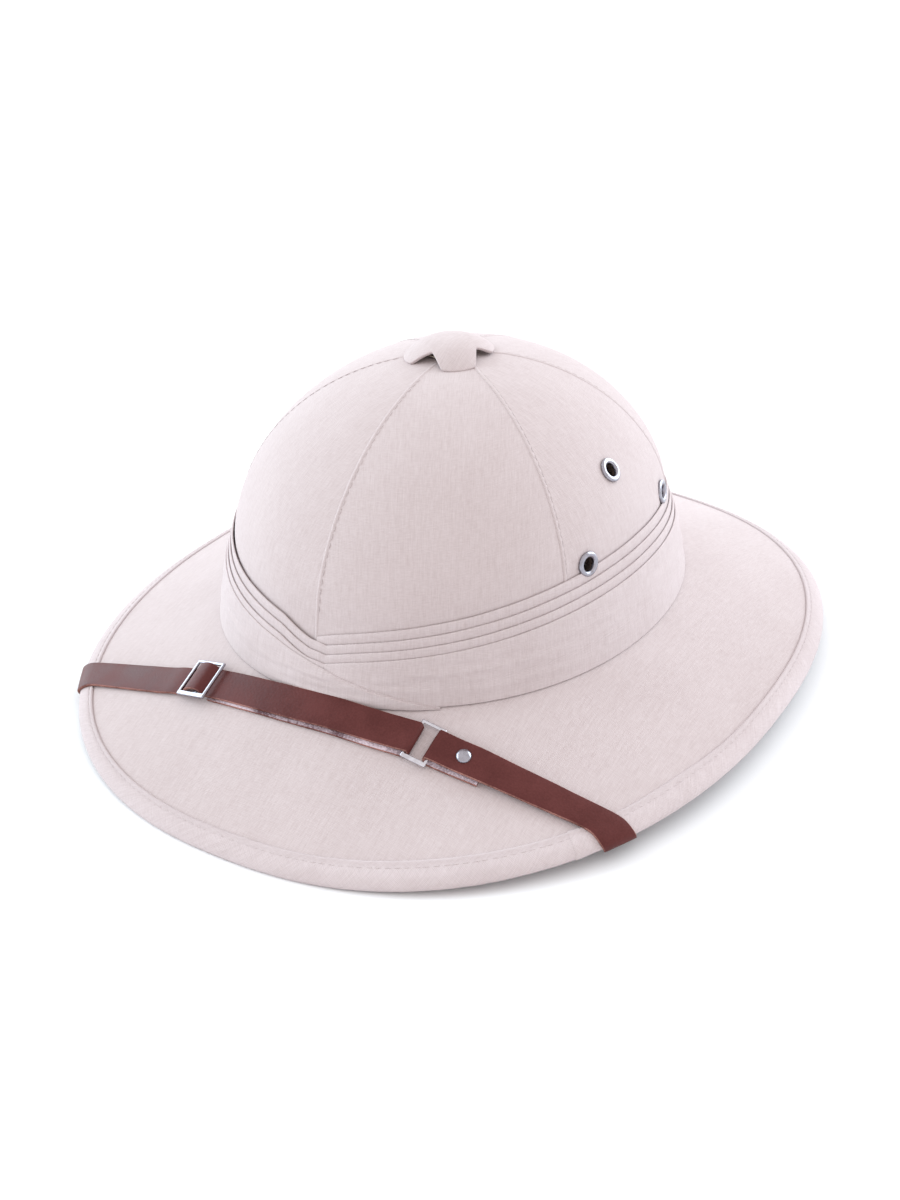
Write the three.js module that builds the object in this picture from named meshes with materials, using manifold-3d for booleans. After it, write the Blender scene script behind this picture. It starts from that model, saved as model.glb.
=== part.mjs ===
// Pith helmet: six cloth-covered crown gores on a sloping oval brim with a bound rim, a pleated
// cloth band, a lobed ventilator cap, side eyelets and a leather chin strap laid over the brim.
// Frame: millimetres, +Z up, the wearer faces -Y, and the rim stands on z = 0.
import * as THREE from 'three';
import { mergeVertices } from 'three/addons/utils/BufferGeometryUtils.js';
import Module from 'manifold-3d';

const wasm = await Module();
wasm.setup();

// ---- Driving dimensions (millimetres and degrees) ----
const SIDES = 60;                 // facets round every oval ring
const GAP = 0.35;                 // clearance between neighbouring pieces
// An oval is measured from its own centre: half its width, and its reach to the front and back.
const RIM = { halfWidth: 147, front: 165, back: 176, centreY: -5.5, squareness: 2.24 };
const RIM_SIDE_RISE = 9;          // how far the rim stands off the table at the sides
const RIM_FLAT = 0.17;            // share of the half width that lies flat, front and back
const CROWN_CENTRE_Y = -4;
const CROWN_SQUARENESS = 2.06;
const SKIRT = { halfWidth: 89.4, front: 102.2, back: 102.2, centreY: CROWN_CENTRE_Y };
const DOME = { halfWidth: 83.7, front: 96.9, back: 96.9, centreY: CROWN_CENTRE_Y };
const SKIRT_BOTTOM = 38;          // height of the crown's lower edge
const DOME_START = 64;            // height where the skirt turns into the dome, at the front
const DOME_SIDE_LIFT = 10.2;      // that line is higher at the sides
const DOME_TOP = 133.8;
const DOME_TOP_SHIFT = 3.3;       // the apex lies behind the middle of the base
const DOME_SPREAD = 2.12;         // superellipse powers of the dome's section
const DOME_POINT = 1.65;
const WALL = 3;                   // pressed shell with its cloth cover
const VENT_RADIUS = 8;            // hole at the apex
const VENT_DROP = 0.3;            // its edge lies this much under the apex
const GORES = ['front_right', 'right', 'back_right', 'back_left', 'left', 'front_left'];
const BAND = { top: 64, bottom: 36.1, innerBottom: 37.1, pleatDepth: 9.5, pleats: 3 };
const BAND_DIP = { depth: 7.6, width: 13 };     // the V of the pleats at the front
const BAND_TOP_OVAL = { halfWidth: 85, front: 98.3, back: 98.3, centreY: CROWN_CENTRE_Y };
const BAND_WIDE_OVAL = { halfWidth: 88, front: 102.4, back: 102.4, centreY: CROWN_CENTRE_Y };
const BAND_BASE_OVAL = { halfWidth: 92.4, front: 105.2, back: 105.2, centreY: CROWN_CENTRE_Y };
const EYELET = { bore: 2.6, barrel: 3, flange: 5.2, depth: 3.9, roll: 1.3 };
const EYELETS = [                 // on the right side: round from the front, and height
  { name: 'upper', angle: 88, height: 99.7 },
  { name: 'front', angle: 71.5, height: 75.3 },
  { name: 'rear', angle: 109, height: 77 },
];
const CAP = {
  radius: 18.8, top: 140.4, wall: 2, lobes: 4, lobeTurn: -3, notchStart: 12.3, notchWidth: 27,
};
const LEATHER = { width: 13, thickness: 1.4, lift: 0.65 };
const SLIDER = { x: -48.4, length: 15.6, width: 18.4, bar: 1.8, thick: 1.2, lift: 4.8 };
const RING = { x: 53, length: 11.2, width: 17.6, bar: 1.4, thick: 1.2, lift: 2.85 };
const RIVET = { x: 68.5, radius: 3.2, height: 1.9 };
const STUD = { x: 97, y: -8, radius: 4, height: 1.6 };
const RIM_CROSSING = {            // rim angles of the strap's two edges on each side
  left: { front: -49, rear: -55 },
  right: { front: 54.3, rear: 60 },
};

// ---- Materials ----
function finish(color, roughness, metalness) {
  return new THREE.MeshStandardMaterial({ color, roughness, metalness });
}
const cloth = finish(0xd9ccc4, 0.95, 0);
const tape = finish(0xd6c8c0, 0.95, 0);
const leather = finish(0x6b3a34, 0.5, 0);
const nickel = finish(0xc9cbd0, 0.25, 1);
const collarMetal = finish(0xd8d2bf, 0.5, 0.4);

const helmet = new THREE.Group();

function addPiece(name, geometry, material) {
  const mesh = new THREE.Mesh(geometry, material);
  mesh.name = name;
  helmet.add(mesh);
  return mesh;
}

// ---- Ovals and swept rings ----
const radians = THREE.MathUtils.degToRad;

// A point on an oval, turned by angle from the front towards +X, and moved out from it.
function ovalPoint(oval, angle, out, height) {
  const power = 2 / (oval.squareness ?? CROWN_SQUARENESS);
  const side = Math.sign(Math.sin(angle)) * Math.abs(Math.sin(angle)) ** power;
  const ahead = Math.sign(Math.cos(angle)) * Math.abs(Math.cos(angle)) ** power;
  const reach = ahead > 0 ? oval.front : oval.back;
  return new THREE.Vector3(
    (oval.halfWidth + out) * side,
    oval.centreY - (reach + out) * ahead,
    height,
  );
}

function mixOvals(first, second, share) {
  const mixed = { centreY: first.centreY };
  for (const key of ['halfWidth', 'front', 'back']) {
    mixed[key] = THREE.MathUtils.lerp(first[key], second[key], share);
  }
  return mixed;
}

// A closed ring: the profile runs up its outside and down its inside, and place() puts each of
// its rows at an angle round the helmet.
function sweptRing(profile, place) {
  const outline = [...profile, profile[0]];
  const geometry = new THREE.LatheGeometry(outline.map(() => new THREE.Vector2(1, 0)), SIDES);
  const position = geometry.attributes.position;
  for (let i = 0; i < position.count; i += 1) {
    const turn = Math.floor(i / outline.length) % SIDES;
    const point = place(outline[i % outline.length], (turn / SIDES) * 2 * Math.PI);
    position.setXYZ(i, point.x, point.y, point.z);
  }
  return geometry;
}

// ---- Joining and cutting ----
function solidOf(geometry) {
  const bare = geometry.clone();
  bare.deleteAttribute('normal');
  bare.deleteAttribute('uv');
  const merged = mergeVertices(bare, 1e-4);
  return new wasm.Manifold(new wasm.Mesh({
    numProp: 3,
    vertProperties: new Float32Array(merged.attributes.position.array),
    triVerts: new Uint32Array(merged.index.array),
  }));
}

function geometryOf(solid) {
  const mesh = solid.getMesh();
  const geometry = new THREE.BufferGeometry();
  const corners = new Float32Array(mesh.vertProperties);
  geometry.setAttribute('position', new THREE.BufferAttribute(corners, 3));
  geometry.setIndex(new THREE.BufferAttribute(new Uint32Array(mesh.triVerts), 1));
  return geometry;
}

// ---- Rim and brim ----
function rimHeight(angle) {
  const beyond = Math.max(0, Math.abs(Math.sin(angle)) - RIM_FLAT) / (1 - RIM_FLAT);
  return RIM_SIDE_RISE * beyond ** 1.6;
}

function rimPoint(angle, out, up) {
  return ovalPoint(RIM, angle, out, rimHeight(angle) + up);
}

// The brim's wall: rows near the crown follow the skirt's oval, and rows near the rim follow the
// rim. A row between them is a share of the way, with a small sag.
const BRIM_SAG = 0.8;
const brimTopInner = { oval: SKIRT, out: -WALL, height: SKIRT_BOTTOM - GAP };
const brimTopOuter = { oval: BAND_BASE_OVAL, out: 0, height: 35.6 };
const brimUnderOuter = { oval: BAND_BASE_OVAL, out: -1, height: 32.6 };
const brimUnderInner = { oval: SKIRT, out: -WALL, height: 34.7 };
const brimFold = { out: -7.4, up: 5.8 };
const brimUnderFold = { out: -9, up: 3.2 };
const brimProfile = [
  brimUnderFold,
  { out: -5.4, up: 2.4 },
  { out: -3.2, up: 1.3 },
  { out: -1.6, up: 1.3 },
  { out: -2.3, up: 2.4 },
  { out: -4.4, up: 3.9 },
  { out: -6.9, up: 4.6 },
  brimFold,
  { from: brimTopOuter, to: brimFold, share: 0.5 },
  brimTopOuter,
  brimTopInner,
  brimUnderInner,
  brimUnderOuter,
  { from: brimUnderOuter, to: brimUnderFold, share: 0.5 },
];

function brimPoint(row, angle) {
  if (row.from) {
    const middle = brimPoint(row.from, angle).lerp(brimPoint(row.to, angle), row.share);
    middle.z -= BRIM_SAG;
    return middle;
  }
  if (row.oval) return ovalPoint(row.oval, angle, row.out, row.height);
  return rimPoint(angle, row.out, row.up);
}

const brim = addPiece('brim', sweptRing(brimProfile, brimPoint), cloth);

const bindingProfile = [
  { out: -3.2, up: 0 },
  { out: -0.5, up: 0 },
  { out: 0, up: 1.2 },
  { out: -1.7, up: 3.6 },
  { out: -4.3, up: 5.3 },
  { out: -7, up: 6 },
  { out: -6.7, up: 4.95 },
  { out: -4.3, up: 4.3 },
  { out: -1.9, up: 2.75 },
  { out: -1.1, up: 0.9 },
  { out: -3.4, up: 0.9 },
  { out: -8.6, up: 2.6 },
  { out: -8.6, up: 1.8 },
];
const binding = addPiece('brim_binding', sweptRing(bindingProfile, brimPoint), tape);

// ---- Crown ----
function domeStart(angle) {
  return DOME_START + DOME_SIDE_LIFT * Math.sin(angle) ** 2;
}

// A point on the crown's cover at a height; inset moves it to the inner face of the wall.
function crownPoint(angle, height, inset = 0) {
  const start = domeStart(angle);
  if (height <= start) {
    const share = (height - SKIRT_BOTTOM) / (start - SKIRT_BOTTOM);
    return ovalPoint(mixOvals(SKIRT, DOME, share), angle, -inset, height);
  }
  const rise = Math.min(1, (height - start) / (DOME_TOP - inset - start));
  const spread = (1 - rise ** DOME_POINT) ** (1 / DOME_SPREAD);
  const base = ovalPoint(DOME, angle, -inset, height);
  return new THREE.Vector3(
    base.x * spread,
    CROWN_CENTRE_Y + (base.y - CROWN_CENTRE_Y) * spread + DOME_TOP_SHIFT * rise,
    height,
  );
}

// The edge of the round vent hole, on the cover or on the inner face.
function ventEdge(angle, inset) {
  return new THREE.Vector3(
    VENT_RADIUS * Math.sin(angle),
    CROWN_CENTRE_Y + DOME_TOP_SHIFT - VENT_RADIUS * Math.cos(angle),
    DOME_TOP - inset - VENT_DROP,
  );
}

const DOME_RISES = [0, 0.22, 0.42, 0.6, 0.75, 0.87, 0.95];
const cover = DOME_RISES.map((rise) => ({ rise, inset: 0 }));
const innerFace = DOME_RISES.map((rise) => ({ rise, inset: WALL })).reverse();
const crownProfile = [
  { skirt: true, inset: 0 },
  ...cover,
  { vent: true, inset: 0 },
  { vent: true, inset: WALL },
  ...innerFace,
  { skirt: true, inset: WALL },
];

function crownRow(row, angle) {
  if (row.skirt) return crownPoint(angle, SKIRT_BOTTOM, row.inset);
  if (row.vent) return ventEdge(angle, row.inset);
  const start = domeStart(angle);
  return crownPoint(angle, start + row.rise * (DOME_TOP - row.inset - start), row.inset);
}

// The upright wedge that one gore fills, drawn in a little on both sides for the seam.
function goreWedge(middle) {
  const reach = 260;
  const pullOut = GAP / 2 / Math.sin(radians(30));
  const outline = new THREE.Shape();
  outline.moveTo(0, 0);
  for (const edge of [-30, 30]) {
    const angle = radians(middle + edge);
    outline.lineTo(reach * Math.sin(angle), -reach * Math.cos(angle));
  }
  outline.closePath();
  const wedge = new THREE.ExtrudeGeometry(outline, { depth: DOME_TOP + 20, bevelEnabled: false });
  const shift = radians(middle);
  wedge.translate(
    pullOut * Math.sin(shift),
    CROWN_CENTRE_Y - pullOut * Math.cos(shift),
    0,
  );
  return solidOf(wedge);
}

// ---- Eyelets: where each one sits, and the way it faces ----
function eyeletPlace(side, row) {
  const angle = radians(row.angle);
  const spot = crownPoint(angle, row.height);
  const round = crownPoint(angle + 0.02, row.height).sub(spot);
  const up = crownPoint(angle, row.height + 1).sub(spot);
  const facing = round.cross(up).normalize();
  spot.x *= side;
  facing.x *= side;
  return { spot, facing };
}

function turnedTo(geometry, place) {
  const turn = new THREE.Quaternion().setFromUnitVectors(new THREE.Vector3(0, 0, 1), place.facing);
  geometry.applyQuaternion(turn);
  geometry.translate(place.spot.x, place.spot.y, place.spot.z);
  return geometry;
}

function drill(place, radius, length) {
  const rod = new THREE.CylinderGeometry(radius, radius, length, 16);
  rod.rotateX(Math.PI / 2);
  return solidOf(turnedTo(rod, place));
}

// Turns an outline of [radius, height] pairs about the Z axis.
function turned(outline, sides) {
  const lathe = new THREE.LatheGeometry(outline.map((p) => new THREE.Vector2(p[0], p[1])), sides);
  lathe.rotateX(Math.PI / 2);
  return lathe;
}

const eyeletSection = [
  [EYELET.bore, -EYELET.depth],
  [EYELET.barrel, -EYELET.depth],
  [EYELET.barrel, 0.6],
  [EYELET.flange - 0.3, 0.6],
  [EYELET.flange, 0.9],
  [EYELET.flange - 0.9, 0.6 + EYELET.roll],
  [EYELET.barrel + 0.6, 0.4 + EYELET.roll],
  [EYELET.bore, 0.8],
  [EYELET.bore, -EYELET.depth],
];

const sides = [{ name: 'right', sign: 1 }, { name: 'left', sign: -1 }];
const eyeletPlaces = [];
for (const side of sides) {
  for (const row of EYELETS) {
    const place = eyeletPlace(side.sign, row);
    eyeletPlaces.push(place);
    addPiece(`eyelet_${side.name}_${row.name}`, turnedTo(turned(eyeletSection, 12), place), nickel);
  }
}

let shell = solidOf(sweptRing(crownProfile, crownRow));
for (const place of eyeletPlaces) {
  shell = shell.subtract(drill(place, EYELET.barrel + GAP, 16));
}
GORES.forEach((name, index) => {
  const gore = shell.intersect(goreWedge(30 + 60 * index));
  addPiece(`crown_gore_${name}`, geometryOf(gore), cloth);
});

// ---- Pleated band ----
// Height of the fold line that lies a share of the way down the pleats.
function foldHeight(angle, share) {
  const off = Math.abs(THREE.MathUtils.euclideanModulo(angle + Math.PI, 2 * Math.PI) - Math.PI);
  const dip = BAND_DIP.depth * Math.exp(-off / radians(BAND_DIP.width));
  const lift = (DOME_SIDE_LIFT - 2.3 * share) * Math.sin(angle) ** 2;
  return BAND.top - BAND.pleatDepth * share + lift - dip;
}

function pleatPoint(row, angle) {
  const height = foldHeight(angle, row.share) - row.drop;
  if (row.inner) return crownPoint(angle, height, -GAP);
  return ovalPoint(mixOvals(BAND_TOP_OVAL, BAND_WIDE_OVAL, row.share), angle, row.out, height);
}

for (let pleat = 0; pleat < BAND.pleats; pleat += 1) {
  const share = pleat / BAND.pleats;
  const next = (pleat + 1) / BAND.pleats;
  const profile = [
    { share: next, drop: -GAP, out: -0.5 },
    { share, drop: 0, out: 0 },
    { share, drop: 0, inner: true },
    { share: next, drop: -GAP, inner: true },
  ];
  let solid = solidOf(sweptRing(profile, pleatPoint));
  if (pleat === 0) {
    for (const place of eyeletPlaces) {
      solid = solid.subtract(drill(place, EYELET.flange + GAP, 16));
    }
  }
  addPiece(`band_pleat_${pleat + 1}`, geometryOf(solid), cloth);
}

const wideProfile = [
  { bottom: true, out: 0 },
  { down: 0.72, out: 0.6 },
  { down: 0.4, out: 1.1 },
  { down: 0.12, out: 0.7 },
  { down: 0, out: 0 },
  { down: 0, inner: true },
  { bottom: true, inner: true },
];

function widePoint(row, angle) {
  const top = foldHeight(angle, 1);
  if (row.inner) {
    const height = row.bottom ? BAND.innerBottom : top;
    return crownPoint(angle, Math.max(height, SKIRT_BOTTOM), -GAP).setZ(height);
  }
  const height = row.bottom ? BAND.bottom : THREE.MathUtils.lerp(top, BAND.bottom, row.down);
  const share = row.bottom ? 1 : row.down;
  return ovalPoint(mixOvals(BAND_WIDE_OVAL, BAND_BASE_OVAL, share), angle, row.out, height);
}
addPiece('band_wide_fold', sweptRing(wideProfile, widePoint), cloth);

// ---- Ventilator ----
const apexY = CROWN_CENTRE_Y + DOME_TOP_SHIFT;
const collarOutline = [
  [6.2, DOME_TOP - 5],
  [VENT_RADIUS - GAP, DOME_TOP - 5],
  [VENT_RADIUS - GAP, DOME_TOP + 0.6],
  [11, DOME_TOP + 0.6],
  [11, DOME_TOP + 1.9],
  [VENT_RADIUS - GAP, DOME_TOP + 1.9],
  [VENT_RADIUS - GAP, DOME_TOP + 2.9],
  [6.2, DOME_TOP + 3.1],
  [6.2, DOME_TOP - 5],
];
const collar = turned(collarOutline, 20);
collar.translate(0, apexY, 0);
addPiece('vent_collar', collar, collarMetal);

// The cap's outline: [share of the radius, fall from the top], down the outside, then inside.
const capFall = [[0, 0], [0.3, 0.45], [0.56, 1.6], [0.8, 3.8], [0.95, 5.9], [1, 7.5]];
const capOutside = capFall.map(([share, fall]) => [share * CAP.radius, CAP.top - fall]);
const capInside = capFall.map(([share, fall], index) => {
  const inset = index === 0 ? 0 : CAP.wall * share;
  const drop = index === capFall.length - 1 ? fall : fall + CAP.wall;
  return [share * CAP.radius - inset, CAP.top - drop];
});
const capOutline = [...capInside, ...capOutside.reverse()];
let cap = solidOf(turned(capOutline, 32));
for (let notch = 0; notch < CAP.lobes; notch += 1) {
  const outline = new THREE.Shape();
  outline.moveTo(CAP.notchStart, 0);
  outline.lineTo(CAP.radius + 2, -CAP.notchWidth / 2);
  outline.lineTo(CAP.radius + 2, CAP.notchWidth / 2);
  outline.closePath();
  const cutter = new THREE.ExtrudeGeometry(outline, { depth: 30, bevelEnabled: false });
  cutter.rotateZ(radians(CAP.lobeTurn) + (notch / CAP.lobes) * 2 * Math.PI);
  cutter.translate(0, 0, DOME_TOP - 10);
  cap = cap.subtract(solidOf(cutter));
}
const capGeometry = geometryOf(cap);
capGeometry.translate(0, apexY, 0);
addPiece('vent_cap', capGeometry, cloth);

// ---- Chin strap ----
// Heights on the brim are found with a plumb line onto its top or its underside.
helmet.updateMatrixWorld(true);
const plumb = new THREE.Raycaster();
function brimHeight(x, y, fromAbove) {
  const start = new THREE.Vector3(x, y, fromAbove ? 300 : -100);
  plumb.set(start, new THREE.Vector3(0, 0, fromAbove ? -1 : 1));
  return plumb.intersectObjects([brim, binding])[0].point.z;
}

// The strap's middle line in plan: nearly straight across on the left, and drifting back on the
// right, with a soft bend where it passes the front of the band.
const STRAP_LINE = { front: -116.8, leftDrift: 0.03, rightDrift: 0.131, bend: 8 };
function strapY(x) {
  const drift = x < 0 ? STRAP_LINE.leftDrift : STRAP_LINE.rightDrift;
  return STRAP_LINE.front + drift * (Math.hypot(x, STRAP_LINE.bend) - STRAP_LINE.bend);
}

const EDGE_REACH = 0.45 * LEATHER.width;   // how far from its middle the strap feels the brim
const UPRIGHT = 1.1;                       // a height square to the sloping brim, taken upright

// The ends of a line across the strap at x, held at a height over the brim.
function across(x, y, dx, dy, height, fromAbove) {
  const ends = [-1, 1].map((sign) => {
    const px = x + sign * dx;
    const py = y + sign * dy;
    return new THREE.Vector3(px, py, brimHeight(px, py, fromAbove));
  });
  const lift = fromAbove ? height : -height;
  const middle = ends[0].clone().add(ends[1]).multiplyScalar(0.5);
  const reach = ends[1].clone().sub(ends[0]).setLength(LEATHER.width / 2);
  middle.z += lift * UPRIGHT;
  return { front: middle.clone().sub(reach), rear: middle.clone().add(reach) };
}

function onBrim(x, height) {
  const slope = (strapY(x + 1) - strapY(x - 1)) / 2;
  return across(x, strapY(x), -slope * EDGE_REACH, EDGE_REACH, height, true);
}

// The turn round the rim, from the top to the underside, as [out, up] from the rim.
const RIM_TURN = [[-3.4, 6.9], [-0.3, 4.7], [1.5, 1.7], [0.9, -0.9], [-2.4, -1.5], [-6.5, -0.6]];
function roundRim(crossing, out, up) {
  return {
    front: rimPoint(radians(crossing.front), out, up),
    rear: rimPoint(radians(crossing.rear), out, up),
  };
}

const UNDER_START = -11;                   // how far in from the rim the underside stretch begins
const UNDER_LAYER = 1.5;                   // its middle, below the underside

// The hidden stretch under the brim, from the rim to the plain stud beside the head opening.
function underBrim(side, crossing) {
  const start = roundRim(crossing, UNDER_START, 0);
  const from = start.front.clone().add(start.rear).multiplyScalar(0.5);
  const to = new THREE.Vector3(side * STUD.x, STUD.y + STUD.radius + 2, 0);
  const way = to.clone().sub(from).setZ(0).normalize();
  const stations = [];
  for (const share of [0.12, 0.25, 0.4, 0.55, 0.7, 0.85, 1]) {
    const spot = from.clone().lerp(to, share);
    const dx = -side * way.y * EDGE_REACH;
    const dy = side * way.x * EDGE_REACH;
    const ends = across(spot.x, spot.y, dx, dy, UNDER_LAYER, false);
    stations.push({ front: ends.rear, rear: ends.front });
  }
  return stations;
}

// A flat strap: a long box whose stations are laid one after the other along its route.
function ribbon(stations) {
  const steps = stations.length - 1;
  const middles = stations.map((s) => s.front.clone().add(s.rear).multiplyScalar(0.5));
  const geometry = new THREE.BoxGeometry(1, 1, 1, steps, 1, 1);
  const position = geometry.attributes.position;
  for (let i = 0; i < position.count; i += 1) {
    const index = Math.round((position.getX(i) + 0.5) * steps);
    const station = stations[index];
    const before = middles[Math.max(0, index - 1)];
    const after = middles[Math.min(steps, index + 1)];
    const sideways = station.rear.clone().sub(station.front);
    const normal = after.clone().sub(before).cross(sideways).normalize();
    const edge = position.getY(i) > 0 ? station.rear : station.front;
    const point = edge.clone().addScaledVector(normal, position.getZ(i) * LEATHER.thickness);
    position.setXYZ(i, point.x, point.y, point.z);
  }
  return geometry;
}

const low = LEATHER.lift + LEATHER.thickness / 2;          // a layer on the brim
const high = low + LEATHER.thickness + GAP;                // a layer on another
const leftBar = RING.x - RING.length / 2 + RING.bar / 2;   // the ring's two cross bars
const rightBar = RING.x + RING.length / 2 - RING.bar / 2;
const barHeight = RING.lift + RING.thick / 2;
const turnRadius = barHeight - low;

// The strap's turn round one of the ring's cross bars, over the top and back underneath.
function roundBar(barX, sign) {
  const steps = [];
  for (const degrees of [90, 45, 0, -45, -90]) {
    const angle = radians(degrees);
    steps.push([
      barX + sign * turnRadius * Math.cos(angle),
      barHeight + turnRadius * Math.sin(angle),
    ]);
  }
  return steps;
}

const bulge = SLIDER.lift + SLIDER.thick + GAP + LEATHER.thickness / 2 + 0.1;
const longRoute = [
  [-104, low], [-90, low], [-76, low], [-64, low], [-58, low + 0.2], [-54, high - 0.1],
  [-50.8, bulge - 0.6], [-48.4, bulge], [-46, bulge - 0.6], [-43.4, high], [-39, high],
  [-30, high], [-18, high], [-6, high], [6, high], [18, high], [30, high], [42, high + 0.3],
  ...roundBar(leftBar, 1),
  [42, low], [30, low], [18, low], [6, low], [-6, low], [-18, low], [-30, low], [-39, low],
];
const shortRoute = [
  [80, low], [73, low], [66, low],
  ...roundBar(rightBar, -1).reverse(),
  [66, high + 0.1], [73, high], [81, high - 0.1], [86, low + 0.6], [94, low], [104, low],
  [112, low],
];
const wrap = (crossing) => RIM_TURN.map(([out, up]) => roundRim(crossing, out, up));
const longStations = [
  ...underBrim(-1, RIM_CROSSING.left).reverse(),
  ...wrap(RIM_CROSSING.left).reverse(),
  ...longRoute.map(([x, height]) => onBrim(x, height)),
];
const shortStations = [
  ...shortRoute.map(([x, height]) => onBrim(x, height)),
  ...wrap(RIM_CROSSING.right),
  ...underBrim(1, RIM_CROSSING.right),
];
addPiece('strap_long', ribbon(longStations), leather);
addPiece('strap_short', ribbon(shortStations), leather);

// A place on the strap: its middle, the way across it, and the way its face looks.
function placeBetween(here, ahead) {
  const spot = here.front.clone().add(here.rear).multiplyScalar(0.5);
  const along = ahead.front.clone().add(ahead.rear).multiplyScalar(0.5).sub(spot);
  const sideways = here.rear.clone().sub(here.front).normalize();
  const facing = along.cross(sideways).normalize();
  return { spot, sideways, facing };
}

function strapPlace(x, height) {
  return placeBetween(onBrim(x, height), onBrim(x + 2, height));
}

// A flat frame of bars laid across the strap; the slider has a third bar in its middle.
function frame(size, windows) {
  const opening = (size.length - size.bar * (windows + 1)) / windows;
  let plate = solidOf(new THREE.BoxGeometry(size.length, size.width, size.thick));
  for (let i = 0; i < windows; i += 1) {
    const window = new THREE.BoxGeometry(opening, size.width - 2 * size.bar, 2 * size.thick);
    window.translate(-size.length / 2 + size.bar + opening / 2 + i * (opening + size.bar), 0, 0);
    plate = plate.subtract(solidOf(window));
  }
  const geometry = geometryOf(plate);
  const place = strapPlace(size.x, size.lift + size.thick / 2);
  const along = place.sideways.clone().cross(place.facing).normalize();
  const basis = new THREE.Matrix4().makeBasis(along, place.sideways, place.facing);
  basis.setPosition(place.spot);
  geometry.applyMatrix4(basis);
  return geometry;
}
addPiece('strap_slider', frame(SLIDER, 2), nickel);
addPiece('strap_ring', frame(RING, 1), nickel);

const rivetOutline = [
  [0, 0], [RIVET.radius, 0], [RIVET.radius, 0.5], [RIVET.radius * 0.75, 1.35],
  [RIVET.radius * 0.35, RIVET.height - 0.1], [0, RIVET.height],
];
const rivetLift = high + LEATHER.thickness / 2 + 2 * GAP;
addPiece('strap_rivet', turnedTo(turned(rivetOutline, 12), strapPlace(RIVET.x, rivetLift)), nickel);

// Each end of the strap is held under the brim by a plain stud head.
const strapEnds = { left: longStations.slice(0, 2), right: shortStations.slice(-2).reverse() };
for (const side of sides) {
  const place = placeBetween(...strapEnds[side.name]);
  if (place.facing.z > 0) place.facing.negate();
  const back = strapEnds[side.name][1].front.clone().sub(strapEnds[side.name][0].front).setZ(0);
  place.spot.addScaledVector(back.normalize(), STUD.radius + 2);
  place.spot.addScaledVector(place.facing, LEATHER.thickness / 2 + 2 * GAP + STUD.height / 2);
  const stud = new THREE.CylinderGeometry(STUD.radius, STUD.radius, STUD.height, 16);
  stud.rotateX(Math.PI / 2);
  addPiece(`strap_stud_${side.name}`, turnedTo(stud, place), nickel);
}

export default helmet;
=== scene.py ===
# %% [markdown]
# # A pith helmet with a leather chin strap
# The helmet is a pressed shell covered in cotton: six gores on the crown, an oval brim with a taped
# rim, a long folded scarf wound round the crown, a little cloth ventilator on top, six nickel
# eyelets, and a leather strap that lies over the front of the brim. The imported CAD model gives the
# frame: every new piece is made around it, in the same place and at the same size.

# %% Load the frame
import math
from math import radians

import bmesh
import bpy
from mathutils import Matrix, Vector, noise
from mathutils.bvhtree import BVHTree


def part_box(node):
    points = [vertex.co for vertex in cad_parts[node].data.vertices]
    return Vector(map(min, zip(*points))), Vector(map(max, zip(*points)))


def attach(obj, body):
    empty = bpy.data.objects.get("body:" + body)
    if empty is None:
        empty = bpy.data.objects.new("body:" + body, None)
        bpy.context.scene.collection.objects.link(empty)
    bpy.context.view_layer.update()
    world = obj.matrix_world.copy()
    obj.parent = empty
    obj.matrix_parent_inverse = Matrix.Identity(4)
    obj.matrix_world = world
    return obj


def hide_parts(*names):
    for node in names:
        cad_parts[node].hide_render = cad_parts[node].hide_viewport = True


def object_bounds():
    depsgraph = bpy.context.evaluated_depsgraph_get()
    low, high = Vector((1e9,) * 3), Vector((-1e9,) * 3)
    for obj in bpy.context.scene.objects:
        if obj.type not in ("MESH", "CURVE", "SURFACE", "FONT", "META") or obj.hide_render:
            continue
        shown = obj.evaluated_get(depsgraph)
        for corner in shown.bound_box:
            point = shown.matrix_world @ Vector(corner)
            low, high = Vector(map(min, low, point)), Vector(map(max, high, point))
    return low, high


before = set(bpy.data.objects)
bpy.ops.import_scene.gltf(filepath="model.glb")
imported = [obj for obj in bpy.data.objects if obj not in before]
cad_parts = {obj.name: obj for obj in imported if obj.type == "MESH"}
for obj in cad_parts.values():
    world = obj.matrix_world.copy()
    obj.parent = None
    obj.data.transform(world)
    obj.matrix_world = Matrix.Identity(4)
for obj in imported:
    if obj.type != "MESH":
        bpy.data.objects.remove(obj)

CAD_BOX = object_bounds()
print("CAD box:", [tuple(round(c, 4) for c in corner) for corner in CAD_BOX])

# %% [markdown]
# ## Camera
# The camera comes first, because everything else is judged through it. It looks down at the helmet
# from the front right, quite near, with a slight roll. Its place is worked out from an azimuth, an
# elevation and a distance round an aim point, as on a real tripod. Depth of field stays off.

# %% Camera
MM = 0.001                        # the shapes below are worked out in millimetres
VIEW = {"azimuth": 33.51, "elevation": 29.75, "roll": -2.78, "distance": 650.0, "lens": 46.79}
AIM = Vector((0.0, -5.29, 60.0))
AIM_SLIDE = (-2.58, -32.30)       # the aim moves this much right and up in the picture plane


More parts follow.
